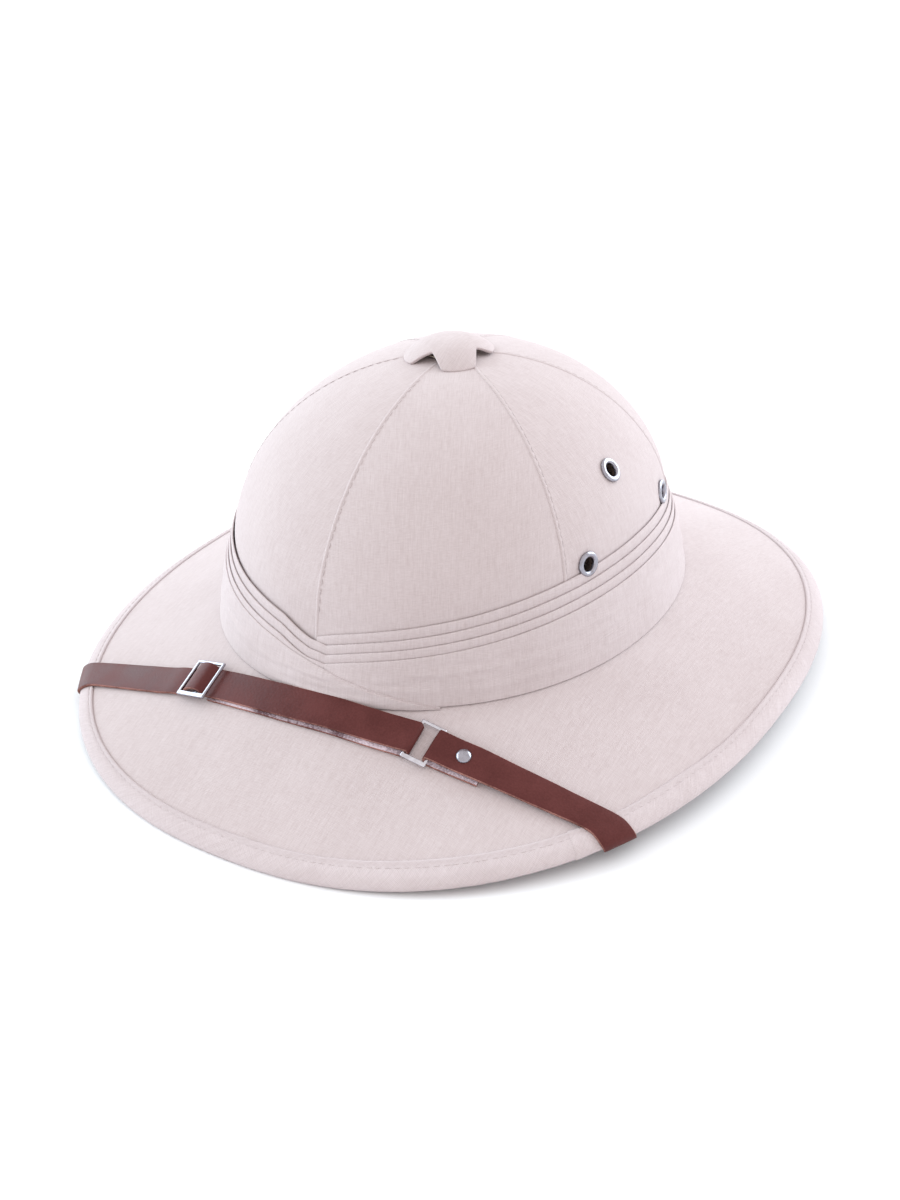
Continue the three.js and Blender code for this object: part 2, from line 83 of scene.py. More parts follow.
def place_camera():
    azimuth, elevation, roll = (radians(VIEW[key]) for key in ("azimuth", "elevation", "roll"))
    back = Vector((math.sin(azimuth) * math.cos(elevation),
                   -math.cos(azimuth) * math.cos(elevation), math.sin(elevation)))
    right = Vector((math.cos(azimuth), math.sin(azimuth), 0.0))
    up = back.cross(right)
    aim = AIM + right * AIM_SLIDE[0] + up * AIM_SLIDE[1]
    rolled_right = right * math.cos(roll) + up * math.sin(roll)
    rolled_up = up * math.cos(roll) - right * math.sin(roll)
    camera_data = bpy.data.cameras.new("camera")
    camera_data.lens = VIEW["lens"]
    camera_data.sensor_width = 36.0
    camera_data.clip_start = 0.01
    camera = bpy.data.objects.new("camera", camera_data)
    turn = Matrix((rolled_right, rolled_up, back)).transposed().to_4x4()
    camera.matrix_world = Matrix.Translation((aim + back * VIEW["distance"]) * MM) @ turn
    bpy.context.scene.collection.objects.link(camera)
    bpy.context.scene.camera = camera
    return camera


print("camera at", place_camera().matrix_world.translation)

# %% [markdown]
# ## Stage and light
# A white sweep and big soft lights give the even, shadowless look of a catalogue picture. A world
# colour is the fill. Two suns with wide discs are the soft boxes: they don't weaken with distance,
# so the floor stays equally pale out to its far edge.

# %% Floor, fill and soft suns
FLOOR = {"half": 6.0, "colour": (0.82, 0.815, 0.825), "roughness": 0.9}
FILL = {"colour": (1.0, 0.97, 0.962), "strength": 1.19}
SUNS = [
    {"name": "soft_left", "from": (-1.0, -0.16, 0.24), "strength": 4.2, "disc": 70.0,
     "colour": (0.72, 0.91, 1.0)},
    {"name": "soft_right", "from": (0.52, 1.05, 0.4), "strength": 3.6, "disc": 60.0,
     "colour": (0.77, 0.9, 0.98)},
]


def fresh_material(name):
    """A new material, with its node tree and its Principled shader."""
    material = bpy.data.materials.new(name)
    material.use_nodes = True
    return material, material.node_tree, material.node_tree.nodes["Principled BSDF"]


def lay_floor():
    paper, _, shader = fresh_material("floor_paper")
    shader.inputs["Base Color"].default_value = (*FLOOR["colour"], 1.0)
    shader.inputs["Roughness"].default_value = FLOOR["roughness"]
    bm = bmesh.new()
    bmesh.ops.create_grid(bm, x_segments=1, y_segments=1, size=FLOOR["half"])
    mesh = bpy.data.meshes.new("floor")
    bm.to_mesh(mesh)
    bm.free()
    mesh.materials.append(paper)
    floor = bpy.data.objects.new("floor", mesh)
    bpy.context.scene.collection.objects.link(floor)


def hang_suns():
    for sun in SUNS:
        data = bpy.data.lights.new(sun["name"], "SUN")
        data.energy = sun["strength"]
        data.angle = radians(sun["disc"])
        data.color = sun["colour"]
        lamp = bpy.data.objects.new(sun["name"], data)
        lamp.rotation_euler = Vector(sun["from"]).to_track_quat("Z", "Y").to_euler()
        bpy.context.scene.collection.objects.link(lamp)


def fill_world():
    world = bpy.data.worlds.new("fill")
    world.use_nodes = True
    background = world.node_tree.nodes["Background"]
    background.inputs["Color"].default_value = (*FILL["colour"], 1.0)
    background.inputs["Strength"].default_value = FILL["strength"]
    bpy.context.scene.world = world


lay_floor()
hang_suns()
fill_world()
bpy.context.scene.view_settings.view_transform = "Standard"
print("stage: floor,", len(SUNS), "suns and a fill")

# %% [markdown]
# ## Finishes
# Cotton is a plain weave of slightly uneven threads. Seen close, it is a grid of small bumps; from
# a step back, the eye sees fine streaks where a thread is thicker. A node group holds both, so each
# cotton piece can place it with its own values. It reads a UV map laid out in metres, so that the
# threads follow each cut of cloth, as they do on a sewn cover.

# %% Node helpers
def new_group(name, inputs, outputs):
    """An empty shader group with float or vector inputs, and float outputs."""
    group = bpy.data.node_groups.new(name, "ShaderNodeTree")
    for label, kind, default in inputs:
        socket = group.interface.new_socket(name=label, in_out="INPUT", socket_type=kind)
        if default is not None:
            socket.default_value = default
    for label in outputs:
        group.interface.new_socket(name=label, in_out="OUTPUT", socket_type="NodeSocketFloat")
    return group, group.nodes.new("NodeGroupInput"), group.nodes.new("NodeGroupOutput")


def maths(tree, operation, first, second, third=None):
    """The output of a Math node, whose inputs are sockets or plain numbers."""
    node = tree.nodes.new("ShaderNodeMath")
    node.operation = operation
    for slot_index, value in enumerate((first, second, third)):
        if value is None:
            continue
        if isinstance(value, bpy.types.NodeSocket):
            tree.links.new(value, node.inputs[slot_index])
        else:
            node.inputs[slot_index].default_value = value
    return node.outputs[0]


def stretched_noise(tree, place, across, along, detail=2.0):
    """Noise whose grains are across wide and along long, in metres, on a vector socket."""
    scale = tree.nodes.new("ShaderNodeVectorMath")
    scale.operation = "MULTIPLY"
    scale.inputs[1].default_value = (1 / across, 1 / along, 1 / across)
    tree.links.new(place, scale.inputs[0])
    grain = tree.nodes.new("ShaderNodeTexNoise")
    grain.inputs["Scale"].default_value = 1.0
    grain.inputs["Detail"].default_value = detail
    tree.links.new(scale.outputs[0], grain.inputs["Vector"])
    return grain.outputs["Fac"]


def coloured(tree, shader, tone, stops):
    """Base colour from a tone: stops are the positions and colours of its two ends."""
    ramp = tree.nodes.new("ShaderNodeValToRGB")
    for end, (position, colour) in zip(ramp.color_ramp.elements, stops):
        end.position = position
        end.color = (*colour, 1.0)
    tree.links.new(tone, ramp.inputs[0])
    tree.links.new(ramp.outputs[0], shader.inputs["Base Color"])


def polished(tree, shader, value, low, high):
    """Roughness from low to high, as a noise goes through the middle of its range."""
    polish = tree.nodes.new("ShaderNodeMapRange")
    for label, number in (("From Min", 0.35), ("From Max", 0.65), ("To Min", low),
                          ("To Max", high)):
        polish.inputs[label].default_value = number
    tree.links.new(value, polish.inputs["Value"])
    tree.links.new(polish.outputs[0], shader.inputs["Roughness"])


def raised(tree, shader, height, strength, distance):
    """A small relief: distance is the height of the highest bumps, in metres."""
    lift = tree.nodes.new("ShaderNodeBump")
    lift.inputs["Strength"].default_value = strength
    lift.inputs["Distance"].default_value = distance
    tree.links.new(height, lift.inputs["Height"])
    tree.links.new(lift.outputs[0], shader.inputs["Normal"])


print("node helpers ready")

# %% Weave group
def weave_group():
    group, entry, leave = new_group(
        "cotton_weave",
        [("Cloth", "NodeSocketVector", None), ("Threads", "NodeSocketFloat", 2100.0)],
        ["Tone", "Height"],
    )
    cloth = entry.outputs["Cloth"]
    axes = group.nodes.new("ShaderNodeSeparateXYZ")
    group.links.new(cloth, axes.inputs[0])
    wander = stretched_noise(group, cloth, 0.004, 0.004)
    ridges = []
    for axis in ("X", "Y"):
        turns = maths(group, "MULTIPLY", axes.outputs[axis], entry.outputs["Threads"])
        bent = maths(group, "MULTIPLY_ADD", wander, 2.4, turns)
        wave = maths(group, "SINE", maths(group, "MULTIPLY", bent, 2 * math.pi), None)
        ridges.append(wave)
    threads = maths(group, "MULTIPLY_ADD", maths(group, "ADD", *ridges), 0.25, 0.5)
    warp = stretched_noise(group, cloth, 0.0005, 0.005)
    weft = stretched_noise(group, cloth, 0.0035, 0.0005)
    slub = stretched_noise(group, cloth, 0.0011, 0.030)
    cloud = stretched_noise(group, cloth, 0.030, 0.035, 3.0)
    streaks = maths(group, "MULTIPLY_ADD", weft, 0.7, maths(group, "MULTIPLY", warp, 0.9))
    tone = maths(group, "MULTIPLY_ADD", cloud, 0.16, maths(group, "MULTIPLY", streaks, 0.36))
    tone = maths(group, "MULTIPLY_ADD", slub, 0.14, tone)
    tone = maths(group, "MULTIPLY_ADD", threads, 0.26, tone)
    group.links.new(tone, leave.inputs["Tone"])
    height = maths(group, "MULTIPLY_ADD", streaks, 0.6, threads)
    group.links.new(height, leave.inputs["Height"])
    return group


WEAVE = weave_group()
print("weave group:", [item.name for item in WEAVE.interface.items_tree])

# %% [markdown]
# ## Cotton
# The shader itself stays in each material. Cotton has no gloss to speak of, but its fuzz catches
# light at grazing angles, which Sheen gives. Tone swings the colour a little between a warm
# shadow thread and a pale one, and Height drives a small Bump.

# %% Cotton materials
def cotton(name, dark, pale, threads=2100.0, bump=0.30, turn=0.0):
    """A woven cotton, whose threads lie at a turn in degrees to the cut of the cloth."""
    material, tree, shader = fresh_material(name)
    where = tree.nodes.new("ShaderNodeUVMap")
    where.uv_map = "cloth"
    mapping = tree.nodes.new("ShaderNodeMapping")
    mapping.inputs["Rotation"].default_value = (0.0, 0.0, radians(turn))
    tree.links.new(where.outputs[0], mapping.inputs["Vector"])
    weave = tree.nodes.new("ShaderNodeGroup")
    weave.node_tree = WEAVE
    weave.inputs["Threads"].default_value = threads
    tree.links.new(mapping.outputs[0], weave.inputs["Cloth"])
    coloured(tree, shader, weave.outputs["Tone"], [(0.34, dark), (0.72, pale)])
    raised(tree, shader, weave.outputs["Height"], bump, 0.0002)
    shader.inputs["Roughness"].default_value = 0.92
    shader.inputs["Specular IOR Level"].default_value = 0.15
    shader.inputs["Sheen Weight"].default_value = 0.08
    shader.inputs["Sheen Roughness"].default_value = 0.45
    return material


COVER = cotton("cover_cotton", (0.420, 0.342, 0.338), (0.560, 0.486, 0.488))
SCARF = cotton("scarf_cotton", (0.425, 0.348, 0.345), (0.570, 0.496, 0.500), turn=3.0)
TAPE = cotton("tape_cotton", (0.430, 0.355, 0.355), (0.580, 0.505, 0.512), bump=0.4, turn=45.0)


def twisted_thread(name, dark, pale):
    """Sewing thread: two plies, whose twist shows as fine slanting bands."""
    material, tree, shader = fresh_material(name)
    where = tree.nodes.new("ShaderNodeTexCoord")
    twist = stretched_noise(tree, where.outputs["Object"], 0.0002, 0.0006)
    coloured(tree, shader, twist, [(0.35, dark), (0.65, pale)])
    shader.inputs["Roughness"].default_value = 0.8
    return material


THREAD = twisted_thread("sewing_thread", (0.44, 0.37, 0.37), (0.58, 0.51, 0.51))
print("cottons:", COVER.name, SCARF.name, TAPE.name)

# %% [markdown]
# ## Leather
# The strap is a dyed, pressed leather: a small pebble grain under a smooth finish. Its cut edges
# are left raw and show the orange tan of the hide, and the flesh side is a dull pinkish suede. One
# grain group serves all three, with its own size and strength in each.

# %% Grain group and leathers
def grain_group():
    group, entry, leave = new_group(
        "hide_grain",
        [("Place", "NodeSocketVector", None), ("Pebble", "NodeSocketFloat", 1100.0)],
        ["Tone", "Height"],
    )
    pebbles = group.nodes.new("ShaderNodeTexVoronoi")
    pebbles.feature = "SMOOTH_F1"
    group.links.new(entry.outputs["Place"], pebbles.inputs["Vector"])
    group.links.new(entry.outputs["Pebble"], pebbles.inputs["Scale"])
    fine = stretched_noise(group, entry.outputs["Place"], 0.0007, 0.0007, 4.0)
    broad = stretched_noise(group, entry.outputs["Place"], 0.012, 0.012, 3.0)
    height = maths(group, "MULTIPLY_ADD", fine, 0.7, pebbles.outputs["Distance"])
    tone = maths(group, "MULTIPLY_ADD", broad, 0.6, maths(group, "MULTIPLY", fine, 0.4))
    group.links.new(height, leave.inputs["Height"])
    group.links.new(tone, leave.inputs["Tone"])
    return group


GRAIN = grain_group()


def hide(name, dark, pale, roughness, pebble, bump, shine):
    """One side of a hide: pebble is the number of grain pebbles to a metre."""
    material, tree, shader = fresh_material(name)
    where = tree.nodes.new("ShaderNodeTexCoord")
    grain = tree.nodes.new("ShaderNodeGroup")
    grain.node_tree = GRAIN
    grain.inputs["Pebble"].default_value = pebble
    tree.links.new(where.outputs["Object"], grain.inputs["Place"])
    coloured(tree, shader, grain.outputs["Tone"], [(0.38, dark), (0.62, pale)])
    polished(tree, shader, grain.outputs["Tone"], roughness - 0.06, roughness + 0.08)
    raised(tree, shader, grain.outputs["Height"], bump, 0.00015)
    shader.inputs["Specular IOR Level"].default_value = shine
    shader.inputs["Specular Tint"].default_value = (1.0, 0.86, 0.92, 1.0)
    return material


LEATHER_FACE = hide("strap_face", (0.071, 0.0165, 0.0145), (0.098, 0.0248, 0.0222),
                    roughness=0.41, pebble=1100, bump=0.35, shine=0.16)
RAW_EDGE = hide("strap_raw_edge", (0.10, 0.035, 0.028), (0.34, 0.17, 0.145),
                roughness=0.80, pebble=2600, bump=0.8, shine=0.1)
SUEDE = hide("strap_flesh_side", (0.13, 0.075, 0.085), (0.60, 0.50, 0.55),
             roughness=0.95, pebble=2200, bump=1.0, shine=0.0)
print("leathers:", LEATHER_FACE.name, RAW_EDGE.name, SUEDE.name)

# %% [markdown]
# ## Nickel
# Eyelets, buckle frames and rivet are nickel plate: bright, a little brushed and scuffed, and
# duller in patches where fingers have been. The eyelet rings, slider and rivet take a darker copy
# of the nickel, whose low colour is painted shade, and the eyelets' tubes are a dark brown that is
# painted shade for the dark inside of their holes. The small collar under the ventilator is plain
# aluminium with a matt skin.

# %% Metals
def metal(name, colour, low, high):
    """A plated metal whose roughness runs from low to high in scuffed patches."""
    material, tree, shader = fresh_material(name)
    shader.inputs["Metallic"].default_value = 1.0
    where = tree.nodes.new("ShaderNodeTexCoord")
    scuffs = stretched_noise(tree, where.outputs["Object"], 0.0022, 0.0022, 4.0)
    brush = stretched_noise(tree, where.outputs["Object"], 0.0003, 0.004, 2.0)
    polished(tree, shader, scuffs, low, high)
    coloured(tree, shader, scuffs, [(0.3, [0.8 * part for part in colour]), (0.6, colour)])
    raised(tree, shader, brush, 0.06, 0.0001)
    return material


NICKEL = metal("bright_nickel", (0.60, 0.585, 0.63), 0.16, 0.34)
# A darker copy of the bright nickel: its low colour is painted shade, for the dimmer surroundings
# that the eyelet rings, slider and rivet reflect.
NICKEL_PAINTED_SHADE = metal("nickel_painted_shade", (0.35, 0.335, 0.375), 0.18, 0.36)
# The eyelets' tubes: a dark brown that is painted shade, standing for the dark inside of each hole.
BARREL_PAINTED_SHADE = metal("barrel_painted_shade", (0.26, 0.19, 0.165), 0.50, 0.70)
COLLAR_METAL = metal("matt_collar", (0.55, 0.50, 0.42), 0.40, 0.60)
print("metals:", [finish.name for finish in (NICKEL, NICKEL_PAINTED_SHADE, BARREL_PAINTED_SHADE, COLLAR_METAL)])

# %% [markdown]
# ## From a bmesh to a piece
# Every piece below ends the same way: its shape, worked out in millimetres, is scaled to metres,
# shaded smooth except at real corners, and tied to the frame. It rides on the helmet's one body,
# stands for its CAD nodes, which it hides, and takes its materials.

# %% Finishing helpers
def new_piece(name, bm, materials, stands_for=(), sharp=38.0):
    bmesh.ops.scale(bm, vec=(MM, MM, MM), verts=bm.verts)
    mesh = bpy.data.meshes.new(name)
    bm.to_mesh(mesh)
    bm.free()
    for material in materials:
        mesh.materials.append(material)
    mesh.shade_smooth()
    mesh.set_sharp_from_angle(angle=radians(sharp))
    piece = bpy.data.objects.new(name, mesh)
    bpy.context.scene.collection.objects.link(piece)
    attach(piece, "root")
    if stands_for:
        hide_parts(*stands_for)
    return piece


def settle(piece):
    """Applies a piece's modifiers, so that its mesh is its final shape."""
    graph = bpy.context.evaluated_depsgraph_get()
    mesh = bpy.data.meshes.new_from_object(piece.evaluated_get(graph))
    piece.modifiers.clear()
    piece.data = mesh
    return piece


def look_outward(bm, centre=Vector((0.0, 0.0, 40.0))):
    """Makes the faces of an open sheet agree, and look away from a centre."""
    bmesh.ops.recalc_face_normals(bm, faces=bm.faces)
    outward = sum(face.normal.dot(face.calc_center_median() - centre) for face in bm.faces)
    if outward < 0:
        bmesh.ops.reverse_faces(bm, faces=bm.faces)


def sewn_grid(columns, rows, place):
    """A grid of points, each moved to place(column, row), which gives a point and its flat place
    on the cloth, both in millimetres. The flat place goes into the UV map, in metres."""
    bm = bmesh.new()
    bmesh.ops.create_grid(bm, x_segments=columns - 1, y_segments=rows - 1, size=1.0)
    layer = bm.loops.layers.uv.new("cloth")
    for vert in bm.verts:
        column = round((vert.co.x + 1) / 2 * (columns - 1))
        row = round((vert.co.y + 1) / 2 * (rows - 1))
        vert.co, flat = place(column, row)
        for loop in vert.link_loops:
            loop[layer].uv = (flat[0] * MM, flat[1] * MM)
    return bm


def smooth_step(value):
    value = min(1.0, max(0.0, value))
    return value * value * (3 - 2 * value)


def mix(first, second, share):
    return first + (second - first) * share


print("helpers ready")

# %% [markdown]
# ## The helmet's driving shapes
# The rim is a squarish oval whose sides rise off the table. The crown is a slightly sloping skirt
# with a superellipse dome on it. The same few sizes drive the CAD model. The rim's reach and the
# apex come from the frame itself.

# %% Ovals, rim and crown
CROWN_SQUARENESS = 2.06
RIM_CENTRE_Y = -5.5
RIM = {"half_width": CAD_BOX[1].x / MM, "front": -CAD_BOX[0].y / MM + RIM_CENTRE_Y,
       "back": CAD_BOX[1].y / MM - RIM_CENTRE_Y, "centre_y": RIM_CENTRE_Y, "squareness": 2.24}
RIM_SIDE_RISE = 9.0
RIM_FLAT = 0.17
CROWN_CENTRE_Y = -4.0
SKIRT = {"half_width": 89.4, "front": 102.2, "back": 102.2, "centre_y": CROWN_CENTRE_Y}
DOME = {"half_width": 83.7, "front": 96.9, "back": 96.9, "centre_y": CROWN_CENTRE_Y}
BAND_BASE = {"half_width": 92.4, "front": 105.2, "back": 105.2, "centre_y": CROWN_CENTRE_Y}
SKIRT_BOTTOM = 38.0
DOME_START = 64.0
DOME_SIDE_LIFT = 10.2
DOME_TOP = 133.8
DOME_TOP_SHIFT = 3.3
DOME_SPREAD = 2.12
DOME_POINT = 1.65
WALL = 3.0
VENT_RADIUS = 8.0


def signed_power(value, power):
    return math.copysign(abs(value) ** power, value)


def oval_point(oval, angle, out, height):
    """A point on an oval, turned by angle from the front towards +X, and moved out from it."""
    power = 2 / oval.get("squareness", CROWN_SQUARENESS)
    side = signed_power(math.sin(angle), power)
    ahead = signed_power(math.cos(angle), power)
    reach = oval["front"] if ahead > 0 else oval["back"]
    return Vector(((oval["half_width"] + out) * side,
                   oval["centre_y"] - (reach + out) * ahead, height))


def rim_point(angle, out, up):
    beyond = max(0.0, abs(math.sin(angle)) - RIM_FLAT) / (1 - RIM_FLAT)
    return oval_point(RIM, angle, out, RIM_SIDE_RISE * beyond ** 1.6 + up)


def dome_start(angle):
    return DOME_START + DOME_SIDE_LIFT * math.sin(angle) ** 2


def skirt_point(angle, height, out):
    """A point at a height on the crown's skirt, moved out from the cover."""
    share = (height - SKIRT_BOTTOM) / (dome_start(angle) - SKIRT_BOTTOM)
    oval = {key: mix(SKIRT[key], DOME[key], share) for key in SKIRT}
    return oval_point(oval, angle, out, height)


def dome_point(angle, climb, out=0.0):
    """A point on the dome. climb runs from 0 at its foot to a quarter turn at the apex."""
    start = dome_start(angle)
    rise = math.sin(climb) ** (2 / DOME_POINT)
    spread = math.cos(climb) ** (2 / DOME_SPREAD)
    oval = oval_point(DOME, angle, out, 0.0)
    round_off = smooth_step((0.26 - spread) / 0.14)       # the oval turns round at the vent
    across = mix(oval.x, DOME["half_width"] * math.sin(angle), round_off)
    ahead = mix(oval.y - CROWN_CENTRE_Y, -DOME["half_width"] * math.cos(angle), round_off)
    return Vector((across * spread, CROWN_CENTRE_Y + ahead * spread + DOME_TOP_SHIFT * rise,
                   start + rise * (DOME_TOP + out - start)))


print("rim oval:", {key: round(value, 2) for key, value in RIM.items()})

# %% [markdown]
# ## Crown gores
# Six leaf-shaped gores are joined by lapped seams: at each seam the allowances are pressed under
# the next gore round, which stands a little proud for the width of the lap and is then
# stitched down. Bump alone can't give that step or its shadow, so the step is modelled. Each gore
# is a grid whose columns crowd together at its two seams, and Solidify gives it the shell's wall.

# %% Gore shape
SEAMS = [0.0, 64.0, 116.5, 180.0, 243.5, 296.0]       # degrees round from the front
GORE_NAMES = ["front_right", "right", "back_right", "back_left", "left", "front_left"]
LAP = {"width": 1.7, "height": 0.26, "round": 0.5, "fall_from": 1.2}
GORE_SLACK = 0.12                 # the cover's slight looseness on its shell
LAP_COLUMNS = [0.0, 0.1, 0.25, 0.5, 0.9, 1.3, 1.6, 1.8, 1.95, 2.15, 2.5, 3.2, 4.2]
TUCK_COLUMNS = [3.0, 2.0, 1.2, 0.7, 0.4, 0.25, 0.1, 0.0]
PLAIN_COLUMNS = 30
SKIRT_ROWS = 9
DOME_ROWS = 64
APEX_CLIMB = math.acos((VENT_RADIUS / DOME["half_width"]) ** (DOME_SPREAD / 2))


def crown_row(angle, row):
    """A point of the cover: its rows climb the skirt, then the dome to the vent's edge."""
    if row < SKIRT_ROWS:
        height = mix(SKIRT_BOTTOM, dome_start(angle), row / SKIRT_ROWS)
        return skirt_point(angle, height, 0.0)
    return dome_point(angle, APEX_CLIMB * (row - SKIRT_ROWS) / (DOME_ROWS - 1))


def lap_lift(distance):
    """How far the lapped edge stands off the shell, by the distance from its fold."""
    if distance < LAP["round"]:
        return LAP["height"] * smooth_step(distance / LAP["round"])
    ridge = LAP["height"] * (1 + 0.10 * math.sin(math.pi * min(1.0, distance / 1.6)))
    fall = smooth_step((distance - LAP["fall_from"]) / (LAP["width"] - LAP["fall_from"]))
    beyond = LAP["height"] * 0.45 * math.exp(-max(0.0, distance - LAP["width"]) / 0.7)
    groove = 0.10 * math.exp(-((distance - LAP["width"]) / 0.2) ** 2)
    return mix(ridge, beyond, fall) - groove


def tuck_lift(distance):
    """How far the gore before sinks as it goes in under the lap."""
    return -0.02 * math.exp(-distance / 0.6)


def gore_grid(start, end):
    """The cover of a gore between the angles of its two seams."""
    columns = len(LAP_COLUMNS) + PLAIN_COLUMNS + len(TUCK_COLUMNS)
    middle = (start + end) / 2
    rows = SKIRT_ROWS + DOME_ROWS
    run = [0.0]
    for row in range(1, rows):
        step = (crown_row(middle, row) - crown_row(middle, row - 1)).length
        run.append(run[-1] + step)
    nudge = 0.002
    spans = []                                   # millimetres per radian at both seams
    for row in range(rows):
        ends = [(crown_row(edge + nudge, row) - crown_row(edge - nudge, row)).length
                for edge in (start, end)]
        spans.append([length / (2 * nudge) for length in ends])

    def angle_and_lift(column, row):
        at_start, at_end = spans[row]
        if column < len(LAP_COLUMNS):
            distance = LAP_COLUMNS[column]
            return start + distance / at_start, lap_lift(distance)
        tail = column - len(LAP_COLUMNS) - PLAIN_COLUMNS
        if tail >= 0:
            distance = TUCK_COLUMNS[tail]
            return end - distance / at_end, tuck_lift(distance)
        low = start + LAP_COLUMNS[-1] / at_start
        high = end - TUCK_COLUMNS[0] / at_end
        share = (column - len(LAP_COLUMNS) + 1) / (PLAIN_COLUMNS + 1)
        return mix(low, high, share), 0.0

    def place(column, row):
        angle, lift = angle_and_lift(column, row)
        point = crown_row(angle, row)
        round_way = crown_row(angle + nudge, row) - crown_row(angle - nudge, row)
        other = row - 1 if row == rows - 1 else row + 1
        up_way = (crown_row(angle, other) - point) * (other - row)
        out = round_way.cross(up_way).normalized()
        slack = GORE_SLACK * noise.noise(point * 0.035) if row > SKIRT_ROWS else 0.0
        width = (angle - middle) * (spans[row][0] + spans[row][1]) / 2
        return point + out * (lift + slack), (width, run[row])

    return sewn_grid(columns, rows, place)


print("gore grid:", len(LAP_COLUMNS) + PLAIN_COLUMNS + len(TUCK_COLUMNS), "columns")

# %% Six gores with their walls
def make_gore(index):
    start = radians(SEAMS[index])
    end = radians((SEAMS + [360.0])[index + 1])
    bm = gore_grid(start, end)
    look_outward(bm)
    name = GORE_NAMES[index]
    gore = new_piece(f"gore_{name}", bm, [COVER], [f"crown_gore_{name}"])
    wall = gore.modifiers.new("wall", "SOLIDIFY")
    wall.thickness = WALL * MM
    wall.offset = -1.0
    return settle(gore)


GORES = {GORE_NAMES[index]: make_gore(index) for index in range(6)}
print("gores:", {name: len(gore.data.polygons) for name, gore in GORES.items()})

# %% [markdown]
# ## Eyelets
# A nickel eyelet is a short tube whose outer lip is rolled over into a round ring. It is a true
# turned shape, so its section is spun round an axis. It faces along the crown's normal, and a rod
# of the tube's size cuts its hole through the gore.

# %% Eyelet places and holes
EYELETS = {"upper": (88.0, 99.7), "front": (71.5, 74.9), "rear": (109.0, 77.0)}   # turn, height
REAR_COCK = 5.0                   # degrees: the rear eyelets are pressed in a little askew
EYELET = {"bore": 2.6, "barrel": 3.0, "ring": 4.95, "depth": 3.9, "roll": 0.85}


def crown_at(angle, height):
    """The crown's cover at a height, and the way it faces there."""
    def point(angle, height):
        start = dome_start(angle)
        if height <= start:
            return skirt_point(angle, height, 0.0)
        climb = math.asin(((height - start) / (DOME_TOP - start)) ** (DOME_POINT / 2))
        return dome_point(angle, climb)

    here = point(angle, height)
    round_way = point(angle + 0.01, height) - here
    up_way = point(angle, height + 1.0) - here
    return here, round_way.cross(up_way).normalized()


def eyelet_places():
    places = {}
    for side, sign in (("right", 1.0), ("left", -1.0)):
        for row, (degrees, height) in EYELETS.items():
            spot, facing = crown_at(radians(degrees), height)
            if row == "rear":
                facing.rotate(Matrix.Rotation(-radians(REAR_COCK), 3, "Z"))
            mirror = Vector((sign, 1.0, 1.0))
            places[side, row] = (spot * mirror, facing * mirror)
    return places


def standing_at(spot, facing):
    """The turn and shift that put a shape made on +Z at a spot, facing a way."""
    return Matrix.Translation(spot) @ facing.to_track_quat("Z", "Y").to_matrix().to_4x4()


def spun(section, steps=48, closed=True):
    """A bmesh turned from a section of (radius, height) points about Z."""
    bm = bmesh.new()
    chain = [bm.verts.new((radius, 0.0, height)) for radius, height in section]
    pairs = list(zip(chain, chain[1:] + chain[:1] if closed else chain[1:]))
    edges = [bm.edges.new(pair) for pair in pairs]
    bmesh.ops.spin(bm, geom=chain + edges, cent=(0, 0, 0), axis=(0, 0, 1),
                   angle=2 * math.pi, steps=steps, use_merge=True)
    bmesh.ops.remove_doubles(bm, verts=bm.verts, dist=1e-4)
    bmesh.ops.recalc_face_normals(bm, faces=bm.faces)
    return bm


def cut_holes(piece, places):
    """Cuts a rod out of a piece at each place, a little wider than an eyelet's tube."""
    bm = bmesh.new()
    radius = EYELET["barrel"] + 0.15
    for spot, facing in places:
        bmesh.ops.create_cone(bm, cap_ends=True, segments=32, radius1=radius, radius2=radius,
                              depth=16.0, matrix=standing_at(spot, facing))
    bmesh.ops.scale(bm, vec=(MM, MM, MM), verts=bm.verts)
    mesh = bpy.data.meshes.new("punch")
    bm.to_mesh(mesh)
    bm.free()
    punch = bpy.data.objects.new("punch", mesh)
    bpy.context.scene.collection.objects.link(punch)
    cut = piece.modifiers.new("holes", "BOOLEAN")
    cut.operation = "DIFFERENCE"
    cut.object = punch
    settle(piece)
    bpy.data.objects.remove(punch)


PLACES = eyelet_places()
for side in ("right", "left"):
    cut_holes(GORES[side], [place for (name, row), place in PLACES.items() if name == side])
print("holes cut:", {side: len(GORES[side].data.polygons) for side in ("right", "left")})

# %% Eyelet rings
def ring_section():
    """The tube's wall, then the rolled lip as most of a circle, then back under the lip."""
    middle = (EYELET["barrel"] + EYELET["ring"]) / 2 - 0.15
    half = EYELET["ring"] - middle
    section = [(EYELET["bore"] + 0.15, -EYELET["depth"]), (EYELET["bore"], -EYELET["depth"] + 0.2),
               (EYELET["bore"], -0.4)]
    for degrees in range(165, -31, -15):
        angle = radians(degrees)
        section.append((middle + half * math.cos(angle), 0.4 + EYELET["roll"] * math.sin(angle)))
    section += [(EYELET["ring"] - 0.35, 0.1), (EYELET["barrel"] + 0.5, 0.05),
                (EYELET["barrel"], -0.3), (EYELET["barrel"], -EYELET["depth"])]
    return section


def make_eyelets():
    for (side, row), (spot, facing) in PLACES.items():
        bm = spun(ring_section())
        for face in bm.faces:
            # Faces below the lip are the tube, which takes the painted shade of the dark hole.
            face.material_index = int(face.calc_center_median().z < -0.3)
        bmesh.ops.transform(bm, matrix=standing_at(spot, facing), verts=bm.verts)
        new_piece(f"eyelet_ring_{side}_{row}", bm, [NICKEL_PAINTED_SHADE, BARREL_PAINTED_SHADE],
                  [f"eyelet_{side}_{row}"])
    return len(PLACES)


print("eyelets:", make_eyelets())

# %% [markdown]
# ## Brim
# The brim's cloth is stretched over the shell from under the scarf out to the rim, and again
# underneath. In section it is a closed loop, so the grid's last row lands on its first, and
# merging the doubles closes it. Flat cloth is cut for it, so its threads run straight in plan.

